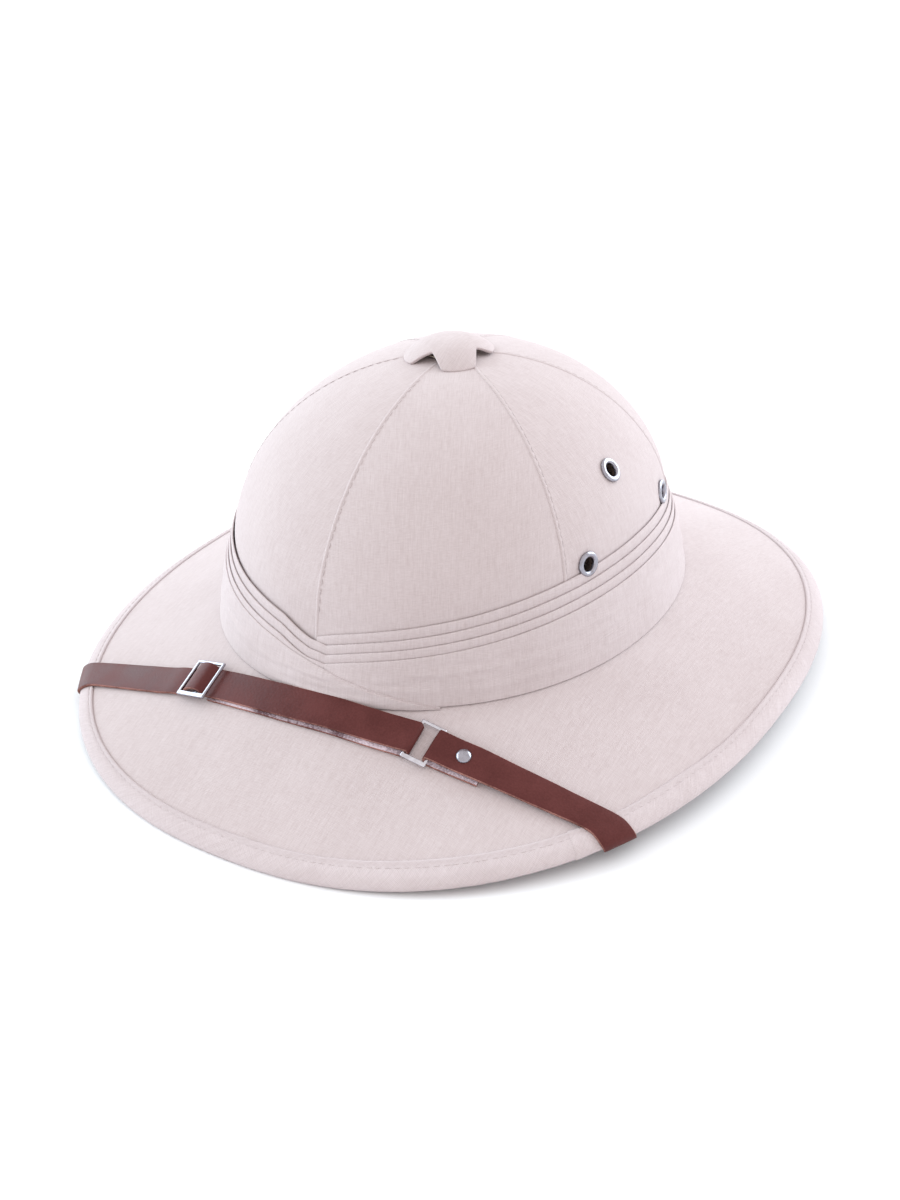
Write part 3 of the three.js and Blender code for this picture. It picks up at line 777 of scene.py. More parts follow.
# %% Brim
RING_STEPS = 361
BRIM_SAG = 0.8
BRIM_FOLD = (-7.4, 5.8)
BRIM_UNDER_FOLD = (-9.0, 3.2)
BRIM_EDGE = [(-6.9, 4.6), (-4.4, 3.9), (-2.3, 2.4), (-1.6, 1.3), (-3.2, 1.3), (-5.4, 2.4)]
TOP_ROWS = 26
UNDER_ROWS = 20
BRIM_ROWS = 1 + TOP_ROWS + len(BRIM_EDGE) + UNDER_ROWS + 1
# Where the tape is wider or narrower: degrees round, how far that spreads, and by how much.
TAPE_DRIFTS = [(28.0, 22.0, 1.4), (-38.0, 20.0, -1.6), (-75.0, 14.0, 1.1), (69.0, 8.0, 0.9)]
TAPE_SLOPE = 0.45                 # the brim's rise for each millimetre in from the rim


def tape_drift(angle):
    """How much wider than usual the hand-laid tape is here, as a shift in and up."""
    degrees = math.degrees(angle)
    wider = 0.0
    for centre, spread, amount in TAPE_DRIFTS:
        off = (degrees - centre + 180.0) % 360.0 - 180.0
        wider += amount * math.exp(-(off / spread) ** 2)
    return Vector((-wider, TAPE_SLOPE * wider))


def brim_top(angle, share):
    """The brim's upper face: share runs from the scarf's foot to the fold at the tape."""
    inner = oval_point(BAND_BASE, angle, 0.0, 35.6)
    point = inner.lerp(rim_point(angle, *(Vector(BRIM_FOLD) + tape_drift(angle))), share)
    point.z -= BRIM_SAG * 4 * share * (1 - share)
    point.z += 0.35 * math.sin(math.pi * share) * noise.noise(point * 0.022)
    return point


def brim_under(angle, share):
    """The brim's lower face: share runs from the tape's lower edge to the head opening."""
    inner = oval_point(BAND_BASE, angle, -1.0, 32.6)
    point = rim_point(angle, *BRIM_UNDER_FOLD).lerp(inner, share)
    point.z -= BRIM_SAG * 4 * share * (1 - share)
    return point


def brim_row(angle, row):
    """A point of the brim's section, from inside the crown over the top, the rim and back."""
    row %= BRIM_ROWS
    if row == 0:
        return oval_point(SKIRT, angle, -WALL, SKIRT_BOTTOM - 0.35)
    row -= 1
    if row < TOP_ROWS:
        return brim_top(angle, row / (TOP_ROWS - 1))
    row -= TOP_ROWS
    if row < len(BRIM_EDGE):
        follow = max(0.0, 1 - row / 2)
        return rim_point(angle, *(Vector(BRIM_EDGE[row]) + tape_drift(angle) * follow))
    row -= len(BRIM_EDGE)
    if row < UNDER_ROWS:
        return brim_under(angle, row / (UNDER_ROWS - 1))
    return oval_point(SKIRT, angle, -WALL, 34.7)


def ring_grid(rows, row_point, flat=None):
    """A closed ring whose section is a closed loop of rows."""
    def place(column, row):
        angle = 2 * math.pi * column / (RING_STEPS - 1)
        point = row_point(angle, row)
        return point, (flat(angle, row, point) if flat else (point.x, point.y))

    bm = sewn_grid(RING_STEPS, rows + 1, place)
    bmesh.ops.remove_doubles(bm, verts=bm.verts, dist=1e-4)
    bmesh.ops.recalc_face_normals(bm, faces=bm.faces)
    return bm


def make_brim():
    bm = ring_grid(BRIM_ROWS, brim_row)
    return new_piece("brim_cloth", bm, [COVER], ["brim"])


BRIM = make_brim()
print("brim:", len(BRIM.data.polygons), "faces")

# %% [markdown]
# ## Rim tape
# A bias-cut tape is folded over the rim. Its inner edge stands up as a small welt with a row of
# stitches just outside it, and its two ends meet at the front right under a lapped fold. The
# section is a smooth curve through a few points, and the lap is a step in its height at one angle.

# %% Tape section
TAPE_SECTION = [(-3.4, 0.05), (-1.9, -0.02), (-0.5, 0.15), (0.0, 1.2), (-0.5, 2.4), (-1.7, 3.6),
                (-3.1, 4.65), (-4.6, 5.35), (-5.6, 5.72), (-6.3, 6.22), (-6.9, 6.42),
                (-7.35, 6.25), (-7.5, 5.85), (-6.9, 4.95), (-4.3, 4.3), (-1.9, 2.75),
                (-1.1, 0.9), (-3.4, 0.9), (-8.4, 2.65), (-8.9, 2.35), (-8.7, 1.85), (-6.2, 0.85)]
TAPE_OUTSIDE = 13                 # how many of those points are on the tape's outer face
TAPE_FOLLOW = {7: 0.5, 8: 0.8, 9: 1.0, 10: 1.0, 11: 1.0, 12: 1.0, 13: 1.0, 14: 0.4}
LAP_ANGLE = radians(50.6)
LAP_STEP = 0.38
RIM_SPAN = 150.0                  # millimetres along the rim for each radian, roughly
PUCKER = 0.10                     # how much the stitching puckers the tape


def between(p0, p1, p2, p3, share):
    """A point from p1 to p2 on the smooth (Catmull-Rom) curve through four points."""
    return 0.5 * ((2 * p1) + (p2 - p0) * share + (2 * p0 - 5 * p1 + 4 * p2 - p3) * share ** 2
                  + (3 * p1 - p0 - 3 * p2 + p3) * share ** 3)


def through(points, share):
    """A smooth closed curve through points; share is in points."""
    index = math.floor(share)
    corners = [Vector(points[(index + step) % len(points)]) for step in (-1, 0, 1, 2)]
    return between(*corners, share - index)


def tape_angle(turn):
    """Crowds the grid's columns near the lap, where the step needs them."""
    return LAP_ANGLE + turn - 0.88 * math.sin(turn)


def tape_row(turn, row):
    """A point of the tape: its section drifts and puckers, and steps up at the lap."""
    angle = tape_angle(turn)
    drift = tape_drift(angle)
    section = [Vector(point) + drift * TAPE_FOLLOW.get(index, 0.0)
               for index, point in enumerate(TAPE_SECTION)]
    out, up = through(section, row / 2)
    point = rim_point(angle, out, up)
    if row / 2 < TAPE_OUTSIDE:
        mean = rim_point(angle, -4.0, 2.4)
        beyond = (angle - LAP_ANGLE) * RIM_SPAN          # millimetres past the lap
        if beyond > 0:
            lift = LAP_STEP * (1 - math.exp(-beyond / 0.35)) * math.exp(-beyond / 9.0)
            point += (point - mean).normalized() * lift
        pucker = noise.noise(Vector((angle * 42.0, row * 0.12, 3.0)))
        point += (point - mean).normalized() * PUCKER * pucker
    return point


def tape_flat(turn, row, point):
    return tape_angle(turn) * RIM_SPAN, row * 0.8


def make_tape():
    rows = 2 * len(TAPE_SECTION)
    bm = ring_grid(rows, lambda turn, row: tape_row(turn, row % rows), tape_flat)
    return new_piece("rim_tape", bm, [TAPE], ["brim_binding"], sharp=50.0)


RIM_TAPE = make_tape()
print("rim tape:", len(RIM_TAPE.data.polygons), "faces")

# %% [markdown]
# ## Scarf
# One long scarf is folded lengthwise and wound four times round the crown. It starts at the foot
# of the front seam and climbs down: each turn lies outside the one before, with its fold a few
# millimetres lower, so at the front every left fold runs on into the next right one and makes a V.
# The last turn is wide, hides the crown's foot, and ends in a long slanting lap over its own
# beginning. A turn is therefore a strip along an angle that runs on past a full circle.

# %% Fold lines
V_ANGLE = 3.8                     # degrees: where the turns change over
FOLD_DROPS = [0.0, 3.6, 7.0, 10.1]
FOLD_TOP = 64.0
V_DIP = {"depth": 7.6, "width": 13.0}
LEFT_LIFT = [0.9, 0.8, 0.5, 1.4]
V_REACH = 13.0                    # degrees before the V in which a left fold dives to its next
TAIL_FALL = 352.0                 # degrees at which the last turn's fold starts to fall
TAIL_END = 31.5                   # degrees past the full circle at which it reaches the brim
SCARF_FOOT = 35.8


def right_fold(turn, degrees):
    """Height of a turn's fold without the dive of the left folds to the V."""
    angle = radians(degrees)
    off = abs((degrees + 180.0) % 360.0 - 180.0)
    dip = V_DIP["depth"] * math.exp(-off / V_DIP["width"])
    drop = FOLD_DROPS[turn] * (1 + 0.17 * math.sin(angle) ** 2)
    return FOLD_TOP + DOME_SIDE_LIFT * math.sin(angle) ** 2 - dip - drop


def fold_height(turn, degrees):
    """Height of a turn's fold. degrees runs from the V, right round, to the V again."""
    height = right_fold(turn, degrees)
    before = 360.0 + V_ANGLE - degrees            # degrees still to go to the V
    if before > 180.0:
        return height
    height += LEFT_LIFT[turn] * smooth_step(1 - before / 150.0)
    if turn == 3:
        past = degrees - TAIL_FALL
        if past <= 0:
            return height
        top = right_fold(3, TAIL_FALL) + LEFT_LIFT[3]
        return mix(top, SCARF_FOOT, past / (360.0 + TAIL_END - TAIL_FALL))
    if before < V_REACH:
        share = (1 - before / V_REACH) ** 1.25
        height = mix(height, right_fold(turn + 1, V_ANGLE), share)
    return height


print("folds at the V:", [round(right_fold(turn, V_ANGLE), 1) for turn in range(4)])

# %% Turns of the scarf
EDGE_OUT = 0.85                   # how far the first fold stands off the crown
TURN_OUT = 0.64                   # each turn lies this much outside the one before
FOOT_OUT = 3.1                    # the wide turn's foot stands this far off the crown
FOOT_TURN_OUT = 0.95
SCARF_SPAN = 95.0                 # millimetres round the crown for each radian, roughly
STRIP = [(0.0, -0.35), (0.1, -0.1), (0.35, 0.0), (1.0, 0.13), (1.9, 0.12), (2.8, 0.0),
         (3.6, -0.16), (6.5, -0.38), (6.5, -0.80), (3.0, -0.75), (0.35, -0.70), (0.1, -0.60)]
WIDE_ROWS = 22
TURN_COLUMNS = 520


def fold_out(turn, degrees):
    """How far a turn's fold stands off the crown: the scarf is a slow spiral."""
    return EDGE_OUT + TURN_OUT * (turn + (degrees - V_ANGLE) / 360.0)


def strip_place(turn, degrees, row):
    """A point of a narrow turn, whose section is a folded strip leaning on the crown."""
    down, out = STRIP[row % len(STRIP)]
    waver = 0.10 * noise.noise(Vector((degrees * 0.11, turn * 7.0, 0.0)))
    height = fold_height(turn, degrees) - down + waver
    return skirt_point(radians(degrees), height, fold_out(turn, degrees) + out)


ROUNDING = STRIP[:3]              # the rounding of the wide turn's fold
TAIL_START = 350.0                # degrees at which the last turn begins to lie on its own start
TAIL_STEP = 1.05                  # and how far it lies outside it


def wide_foot(degrees):
    """How far the wide turn's foot stands off the crown, and its height."""
    foot = FOOT_OUT + FOOT_TURN_OUT * (degrees - V_ANGLE) / 360.0
    return foot, SCARF_FOOT + 0.25 - 0.6 * (foot - FOOT_OUT)


def wide_out(degrees, height):
    """How far the wide turn's face stands off the crown at a height."""
    top = fold_height(3, degrees) - ROUNDING[-1][0]
    foot, bottom = wide_foot(degrees)
    share = min(1.0, max(0.0, (top - height) / max(0.5, top - bottom)))
    fullness = min(1.0, max(0.0, top - bottom) / 8.0)
    wrinkle = noise.noise(Vector((degrees * 0.055, height * 0.42, 5.0)))
    wrinkle += 0.5 * noise.noise(Vector((degrees * 0.16, height * 0.9, 9.0)))
    belly = math.sin(math.pi * share) * fullness * (0.22 + 0.5 * wrinkle)
    return mix(fold_out(3, degrees), foot, share ** 1.45) + belly


def wide_place(degrees, row):
    """The wide turn: a rounded fold, a slack face with soft wrinkles, and a turned-in foot."""
    top = fold_height(3, degrees)
    edge = fold_out(3, degrees)
    angle = radians(degrees)
    if row < len(ROUNDING):
        return skirt_point(angle, top - ROUNDING[row][0], edge + ROUNDING[row][1])
    foot, bottom = wide_foot(degrees)
    if degrees > TAIL_START:
        start_out = wide_out(degrees - 360.0, top)
        edge = mix(edge, start_out + TAIL_STEP, smooth_step((degrees - TAIL_START) / 9.0))
    if row < WIDE_ROWS:
        share = (row - len(ROUNDING) + 1) / (WIDE_ROWS - len(ROUNDING))
        height = mix(top - ROUNDING[-1][0], bottom, share)
        out = wide_out(degrees, height)
        if degrees > TAIL_START:
            over = wide_out(degrees - 360.0, height) + TAIL_STEP
            over = mix(over, over - TAIL_STEP + 0.2, smooth_step((degrees - 386.0) / 6.0))
            out = mix(out, over, smooth_step((degrees - TAIL_START) / 9.0))
        return skirt_point(angle, height, out)
    inside = [(bottom - 0.12, foot - 0.25), (bottom, foot - 0.6), (bottom + 0.7, foot - 0.7),
              (top - 0.5, edge - 0.75), (top - 0.1, edge - 0.60)]
    height, out = inside[row - WIDE_ROWS]
    return skirt_point(angle, max(height, bottom - 0.12), out)


def make_turn(turn):
    start = V_ANGLE if turn else 1.0
    end = 360.0 + (TAIL_END if turn == 3 else V_ANGLE)
    rows = WIDE_ROWS + 5 if turn == 3 else len(STRIP)

    def place(column, row):
        degrees = mix(start, end, column / (TURN_COLUMNS - 1))
        row %= rows
        point = wide_place(degrees, row) if turn == 3 else strip_place(turn, degrees, row)
        return point, (radians(degrees) * SCARF_SPAN, point.z + (row > rows / 2) * 2.0)

    bm = sewn_grid(TURN_COLUMNS, rows + 1, place)
    bmesh.ops.remove_doubles(bm, verts=bm.verts, dist=1e-4)
    bmesh.ops.holes_fill(bm, edges=[edge for edge in bm.edges if edge.is_boundary], sides=0)
    bmesh.ops.recalc_face_normals(bm, faces=bm.faces)
    name = "scarf_wide_turn" if turn == 3 else f"scarf_turn_{turn + 1}"
    node = "band_wide_fold" if turn == 3 else f"band_pleat_{turn + 1}"
    return new_piece(name, bm, [SCARF], [node], sharp=60.0)


TURNS = [make_turn(turn) for turn in range(4)]
cut_holes(TURNS[0], [place for (side, row), place in PLACES.items() if row == "front"])
print("scarf turns:", [len(turn.data.polygons) for turn in TURNS])

# %% [markdown]
# ## Ventilator
# The ventilator is a small stiffened cloth dome with four notches, so that it stands on the crown
# as four soft flaps and lets air out between them. Its plan is a polar grid, spun from one spoke
# and pulled in at the notches; Solidify and Bevel make the padded, rounded edge. Under it a short
# collar with a rolled lip holds it off the crown.

# %% Ventilator cap
APEX_Y = CROWN_CENTRE_Y + DOME_TOP_SHIFT
CAP_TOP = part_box("vent_cap")[1].z / MM
CAP = {"radius": 19.0, "fall": 7.8, "thick": 1.3, "notch": 12.5, "half_tip": 6.9, "turn": 42.0,
       "flaps": [1.0, 0.92, 1.0, 1.0], "edge": 0.42, "corner": 40.0}   # corner: sharp when high
CAP_SPOKES = 144
CAP_ROWS = 26


def cap_reach(angle):
    """The cap's radius along a spoke: a flap's rounded end, or the side of a notch."""
    round_way = angle - radians(CAP["turn"])
    off = abs((round_way + math.pi / 4) % (math.pi / 2) - math.pi / 4)
    flap = CAP["flaps"][round(round_way / (math.pi / 2)) % 4]
    tip = CAP["radius"] * flap * (1 - 0.02 * (off / 0.36) ** 2)
    root = CAP["notch"] * math.sin(math.pi / 4)
    far_x = math.sqrt(CAP["radius"] ** 2 - CAP["half_tip"] ** 2)
    lean = (root - CAP["half_tip"]) / (far_x - root)      # the flap widens towards its root
    side = (root + lean * root) / max(1e-6, math.sin(off) + lean * math.cos(off))
    corner = CAP["corner"]
    return (tip ** -corner + side ** -corner) ** (-1 / corner)


def make_cap():
    """A disc spun from one spoke, drawn in at the notches, domed, and given its padding."""
    bm = bmesh.new()
    chain = [bm.verts.new((row / CAP_ROWS, 0.0, 0.0)) for row in range(CAP_ROWS + 1)]
    edges = [bm.edges.new(pair) for pair in zip(chain, chain[1:])]
    bmesh.ops.spin(bm, geom=chain + edges, cent=(0, 0, 0), axis=(0, 0, 1),
                   angle=2 * math.pi, steps=CAP_SPOKES, use_merge=True)
    bmesh.ops.remove_doubles(bm, verts=bm.verts, dist=1e-5)
    for vert in bm.verts:
        angle = math.atan2(vert.co.x, -vert.co.y)
        radius = vert.co.length * cap_reach(angle)
        share = radius / CAP["radius"]
        vert.co = (radius * math.sin(angle), APEX_Y - radius * math.cos(angle),
                   CAP_TOP - CAP["fall"] * share ** 2.5)
    layer = bm.loops.layers.uv.new("cloth")
    for face in bm.faces:
        for loop in face.loops:
            loop[layer].uv = (loop.vert.co.x * MM, loop.vert.co.y * MM)
    look_outward(bm, Vector((0.0, APEX_Y, 100.0)))
    cap = new_piece("ventilator_cap", bm, [COVER], ["vent_cap"], sharp=70.0)
    wall = cap.modifiers.new("wall", "SOLIDIFY")
    wall.thickness = CAP["thick"] * MM
    wall.offset = -1.0
    soften = cap.modifiers.new("soft_edge", "BEVEL")
    soften.width = CAP["edge"] * MM
    soften.segments = 3
    soften.limit_method = "ANGLE"
    soften.angle_limit = radians(50)
    return settle(cap)


print("cap:", len(make_cap().data.polygons), "faces")

# %% Ventilator collar
COLLAR_SECTION = [(6.2, -5.0), (7.5, -5.0), (7.5, 0.5), (10.4, 0.55), (11.0, 0.9), (11.0, 1.4),
                  (10.4, 1.75), (8.0, 1.9), (7.6, 2.1), (7.5, 2.6), (6.9, 2.9), (6.2, 2.6)]


def make_collar():
    bm = spun(COLLAR_SECTION, 40)
    bmesh.ops.translate(bm, vec=(0.0, APEX_Y, DOME_TOP), verts=bm.verts)
    return new_piece("ventilator_collar", bm, [COLLAR_METAL], ["vent_collar"])


print("collar:", len(make_collar().data.polygons), "faces")

# %% [markdown]
# ## Chin strap
# The strap is one flat leather section laid along a route: under the brim, round the rim, across
# the top, through the slider, and round a bar of the ring, where it folds back under itself. Its
# section is a rounded rectangle of a few points. Each station on the route finds its height by
# dropping a plumb line on the finished brim, so that the leather really lies on the cloth.

# %% Route helpers
LEATHER = {"width": 12.7, "thick": 1.2, "lift": 0.25, "feel": 5.715}   # feel: reach of its touch
RING = {"x": 51.6, "length": 10.4, "width": 16.9, "bar": 1.8, "front_bar": 2.3, "thick": 0.9,
        "lift": 1.4, "aside": 0.1}
RING_PULL = 0.19                  # the ring is pulled askew, and the folds on it with it
SLIDER = {"x": -48.4, "length": 17.0, "width": 16.9, "bar": 1.8, "front_bar": 2.5, "thick": 1.2,
          "lift": 3.1, "aside": 0.35, "tilt": 7.0, "middle_drop": 1.2}
# The strap's line in plan, as x and y; the degrees round where its front and rear edges cross the
# rim, and where they leave it below; and its section round the rim, as out and up from the rim.
STRAP_PLAN = [(-90, -115.4), (-78, -115.0), (-64, -114.5), (-42, -115.1), (-20, -116.3),
              (0, -116.1), (30, -113.3), (54, -109.2), (66, -107.9), (80, -106.4)]
RIM_CROSSING = {"left": (-47.0, -53.3), "right": (53.7, 58.9)}
RIM_EXIT = {"left": (-50.0, -56.3), "right": (55.7, 60.9)}
UPRIGHT = 1.1                     # a height square to the sloping brim, taken upright
RIM_TURN = [(-5.2, 6.4), (-2.85, 5.35), (-1.3, 4.2), (0.08, 2.78), (0.66, 1.3), (0.1, -0.35),
            (-1.9, -0.8), (-6.5, -0.2)]
LOW = LEATHER["lift"] + LEATHER["thick"] / 2
HIGH = LOW + LEATHER["thick"] + 0.15
graph = bpy.context.evaluated_depsgraph_get()
FEEL = [BVHTree.FromObject(piece, graph) for piece in (BRIM, RIM_TAPE)]


def plumb(x, y, from_above):
    """The height of the brim or its tape at a place in plan, from above or from below."""
    start = Vector((x, y, 300.0 if from_above else -100.0)) * MM
    way = Vector((0.0, 0.0, -1.0 if from_above else 1.0))
    hits = [tree.ray_cast(start, way)[0] for tree in FEEL]
    heights = [hit.z / MM for hit in hits if hit is not None]
    return max(heights) if from_above else min(heights)


def plan_y(x):
    for (left, low), (right, high) in zip(STRAP_PLAN, STRAP_PLAN[1:]):
        if x <= right:
            break
    return mix(low, high, (x - left) / (right - left))


def strap_y(x):
    """The strap's line in plan: a few straight runs, eased where they meet."""
    reaches = [step * 1.5 for step in range(-5, 6)]
    return sum(plan_y(x + reach) for reach in reaches) / len(reaches)


def laid_across(x, y, dx, dy, height, from_above):
    """The front and rear ends of a line across the strap, held at a height over the brim."""
    ends = [Vector((x + sign * dx, y + sign * dy, 0.0)) for sign in (-1, 1)]
    for end in ends:
        end.z = plumb(end.x, end.y, from_above)
    middle = (ends[0] + ends[1]) / 2
    reach = (ends[1] - ends[0]).normalized() * LEATHER["width"] / 2
    middle.z += UPRIGHT * (height if from_above else -height)
    return middle - reach, middle + reach


def on_brim(x, height, aside=0.0):
    """The strap's two edges at x, at a height over the brim and moved aside to the front."""
    slope = (strap_y(x + 1) - strap_y(x - 1)) / 2
    pull = RING_PULL * math.exp(-((x - RING["x"]) / 9.0) ** 2)
    feel = LEATHER["feel"]
    return laid_across(x, strap_y(x) - aside, (pull - slope) * feel, feel, height, True)


def smooth_route(points, step=1.0):
    """Stations about a step apart on a smooth open curve through points."""
    vectors = [Vector(point) for point in points]
    first = vectors[0] * 2 - vectors[1]
    last = vectors[-1] * 2 - vectors[-2]
    padded = [first] + vectors + [last]
    route = []
    for index in range(1, len(padded) - 2):
        corners = padded[index - 1:index + 3]
        count = max(2, math.ceil((corners[2] - corners[1]).length / step))
        route += [between(*corners, part / count) for part in range(count)]
    return route + [vectors[-1]]


print("brim height under the strap:", round(plumb(0.0, strap_y(0.0), True), 2), "mm")

# %% Strap section and body
# The section, in shares of the strap's width and thickness, from its front edge over the face.
STRAP_SECTION = [(-0.5, 0.30), (-0.485, 0.44), (-0.455, 0.50), (-0.25, 0.53), (0.0, 0.54),
                 (0.25, 0.53), (0.455, 0.50), (0.485, 0.44), (0.5, 0.30), (0.5, -0.34),
                 (0.485, -0.5), (0.2, -0.5), (-0.2, -0.5), (-0.485, -0.5), (-0.5, -0.34)]
FACE_ROWS = range(1, 7)           # the part of the section that is finished leather
FLESH_ROWS = range(10, 13)        # and the part that is the flesh side


def make_strap(name, stations, node):
    """A strap along stations of (front, rear) ends."""
    count = len(STRAP_SECTION)
    middles = [(front + rear) / 2 for front, rear in stations]
    run = [0.0]
    for before, after in zip(middles, middles[1:]):
        run.append(run[-1] + (after - before).length)

    def place(column, row):
        front, rear = stations[column]
        along = middles[min(column + 1, len(middles) - 1)] - middles[max(column - 1, 0)]
        up = along.cross(rear - front).normalized()
        across, over = STRAP_SECTION[row % count]
        uneven = 0.12 * noise.noise(Vector((run[column] * 0.09, across * 3.0, len(name))))
        point = middles[column] + (rear - front) * across + up * over * LEATHER["thick"]
        return point + (rear - front).normalized() * uneven, (run[column], row * 1.0)

    bm = sewn_grid(len(stations), count + 1, place)
    for face in bm.faces:
        row = min(round(loop[bm.loops.layers.uv[0]].uv.y / MM) for loop in face.loops)
        face.material_index = 0 if row in FACE_ROWS else 2 if row in FLESH_ROWS else 1
    bmesh.ops.remove_doubles(bm, verts=bm.verts, dist=1e-4)
    ends = bmesh.ops.holes_fill(bm, edges=[e for e in bm.edges if e.is_boundary], sides=0)
    for face in ends["faces"]:
        face.material_index = 1
    bmesh.ops.recalc_face_normals(bm, faces=bm.faces)
    return new_piece(name, bm, [LEATHER_FACE, RAW_EDGE, SUEDE], [node], 30.0)


print("strap section:", len(STRAP_SECTION), "points")

# %% Long and short straps
BAR_HEIGHT = RING["lift"] + RING["thick"] / 2
LEFT_BAR = RING["x"] - RING["length"] / 2 + RING["bar"] / 2
RIGHT_BAR = RING["x"] + RING["length"] / 2 - RING["bar"] / 2
BULGE = SLIDER["lift"] + SLIDER["thick"] - 0.35 + LEATHER["thick"] / 2
UNDER_ASIDE = 0.85                # the layer underneath peeps out this far at the front
UNDER = {"from_rim": 11.0, "past_stud": 5.0, "lift": 1.5, "step": 3.0}


def round_bar(bar_x, sign, asides):
    """The turn round a cross bar of the ring, over the top and back underneath."""
    radius = BAR_HEIGHT - LOW
    steps = []
    for degrees, aside in zip(range(90, -91, -30), asides):
        angle = radians(degrees)
        steps.append((bar_x + sign * radius * math.cos(angle),
                      BAR_HEIGHT + radius * math.sin(angle), aside))
    return steps


FOLD_ASIDES = [0.0, 0.0, 0.1, 0.2, 0.3, 0.45, 0.6]
# Each point of a route is its x, its height over the brim, and how far it lies to the front.
LONG_ROUTE = [
    (-66, LOW + 0.5, 0), (-62, LOW + 0.8, 0), (-57, LOW + 0.6, 0), (-54.4, LOW + 1.0, 0),
    (-52.6, BULGE - 0.7, 0), (-50.6, BULGE, 0), (-47.4, BULGE, 0), (-45.2, BULGE - 0.8, 0),
    (-42.6, HIGH + 0.3, 0), (-39, HIGH, 0),
    (-18, HIGH, 0), (6, HIGH, 0), (30, HIGH, 0), (42, HIGH + 0.3, 0),
    *round_bar(LEFT_BAR, 1, FOLD_ASIDES), (43, LOW, 0.8), (36, LOW, UNDER_ASIDE),
    (18, LOW, 0.75), (-6, LOW, 0.5), (-24, LOW, 0.35), (-34.5, LOW, 0.3), (-41, LOW, 0.1),
]
SHORT_ROUTE = [
    (75.0, LOW, 0.2), (71, LOW, 0.4), (66, LOW, 0.6), (62, LOW, 0.7),
    *round_bar(RIGHT_BAR, -1, FOLD_ASIDES)[::-1], (64, HIGH + 0.4, 0), (72, HIGH + 0.8, 0),
]


def round_rim(side):
    """The strap's wrap round the rim, from the top to the underside."""
    turn = smooth_route([(out, up, 0.0) for out, up in RIM_TURN], 0.7)
    stations = []
    for index, spot in enumerate(turn):
        share = index / (len(turn) - 1)
        angles = [radians(mix(on_top, beneath, share))
                  for on_top, beneath in zip(RIM_CROSSING[side], RIM_EXIT[side])]
        stations.append(tuple(rim_point(angle, spot.x, spot.y) for angle in angles))
    return stations


def stud_middle(side):
    """The middle of a hidden stud's place in the frame, in millimetres."""
    low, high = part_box(f"strap_stud_{side}")
    return (low + high) / 2 / MM


def under_brim(side):
    """The plain stretch under the brim, from the rim to a stud beside the head opening."""
    sign = -1.0 if side == "left" else 1.0
    front, rear = (rim_point(radians(degrees), -UNDER["from_rim"], 0.0)
                   for degrees in RIM_EXIT[side])
    start = (front + rear) / 2
    stud = stud_middle(side)
    way = Vector((stud.x - start.x, stud.y - start.y, 0.0))
    end = way.length + UNDER["past_stud"]
    way.normalize()
    feel = sign * LEATHER["feel"]
    stations = []
    travelled = UNDER["from_rim"]
    while travelled < end:
        spot = start + way * travelled
        rear, front = laid_across(spot.x, spot.y, -way.y * feel, way.x * feel, UNDER["lift"], False)
        stations.append((front, rear))
        travelled += UNDER["step"]
    return stations


def stretched(first, last, step=2.0):
    """The taut stretch between two stations, where the strap bridges the hollow brim."""
    count = math.ceil((last[0] - first[0]).length / step)
    return [tuple(a.lerp(b, part / count) for a, b in zip(first, last))
            for part in range(1, count)]


def smoothed(stations, ends, rounds=6):
    """Evens out the joins between laid, wrapped and hidden stretches near given indices."""
    for _ in range(rounds):
        for index in ends:
            for spot in range(max(1, index - 6), min(len(stations) - 1, index + 7)):
                before, here, after = stations[spot - 1:spot + 2]
                stations[spot] = tuple((b + h * 2 + a) / 4 for b, h, a in zip(before, here, after))
    return stations


def lay_straps():
    """Joins the hidden, wrapped, free and laid stretches of both straps into one run each."""
    laid_long = [on_brim(*point) for point in smooth_route(LONG_ROUTE)]
    laid_short = [on_brim(*point) for point in smooth_route(SHORT_ROUTE)]
    left_rim, right_rim = round_rim("left"), round_rim("right")
    left_under, right_under = under_brim("left"), under_brim("right")
    left_free = stretched(left_rim[0], laid_long[0])
    long_stations = left_under[::-1] + left_rim[::-1] + left_free + laid_long
    joins = [len(left_under), len(left_under) + len(left_rim)]
    long_stations = smoothed(long_stations, joins + [joins[-1] + len(left_free)])
    right_free = stretched(laid_short[-1], right_rim[0])
    short_stations = laid_short + right_free + right_rim + right_under
    joins = [len(laid_short), len(laid_short) + len(right_free)]
    short_stations = smoothed(short_stations, joins + [joins[-1] + len(right_rim)])
    long_strap = make_strap("chin_strap_long", long_stations, "strap_long")
    short_strap = make_strap("chin_strap_short", short_stations, "strap_short")
    return long_strap, short_strap


STRAPS = lay_straps()
print("straps:", [len(strap.data.polygons) for strap in STRAPS])

# %% [markdown]
# ## Buckle frames, rivet and studs
# The slider and the ring are stamped frames. A box is inset on both faces, the inner faces are
# bridged into a window, and the corners are bevelled, which is how a stamped frame looks once it
# has been tumbled and plated. The rivet and the hidden studs are turned shapes.

# %% Frames
def strap_place(x, height, aside=0.0):
    """The middle of the strap at x, and its frame: along, across, and out of its face."""
    here = on_brim(x, height, aside)
    ahead = on_brim(x + 2.0, height, aside)
    spot = (here[0] + here[1]) / 2
    across = (here[1] - here[0]).normalized()
    out = ((ahead[0] + ahead[1]) / 2 - spot).cross(across).normalized()
    return spot, Matrix((across.cross(out), across, out)).transposed().to_4x4()


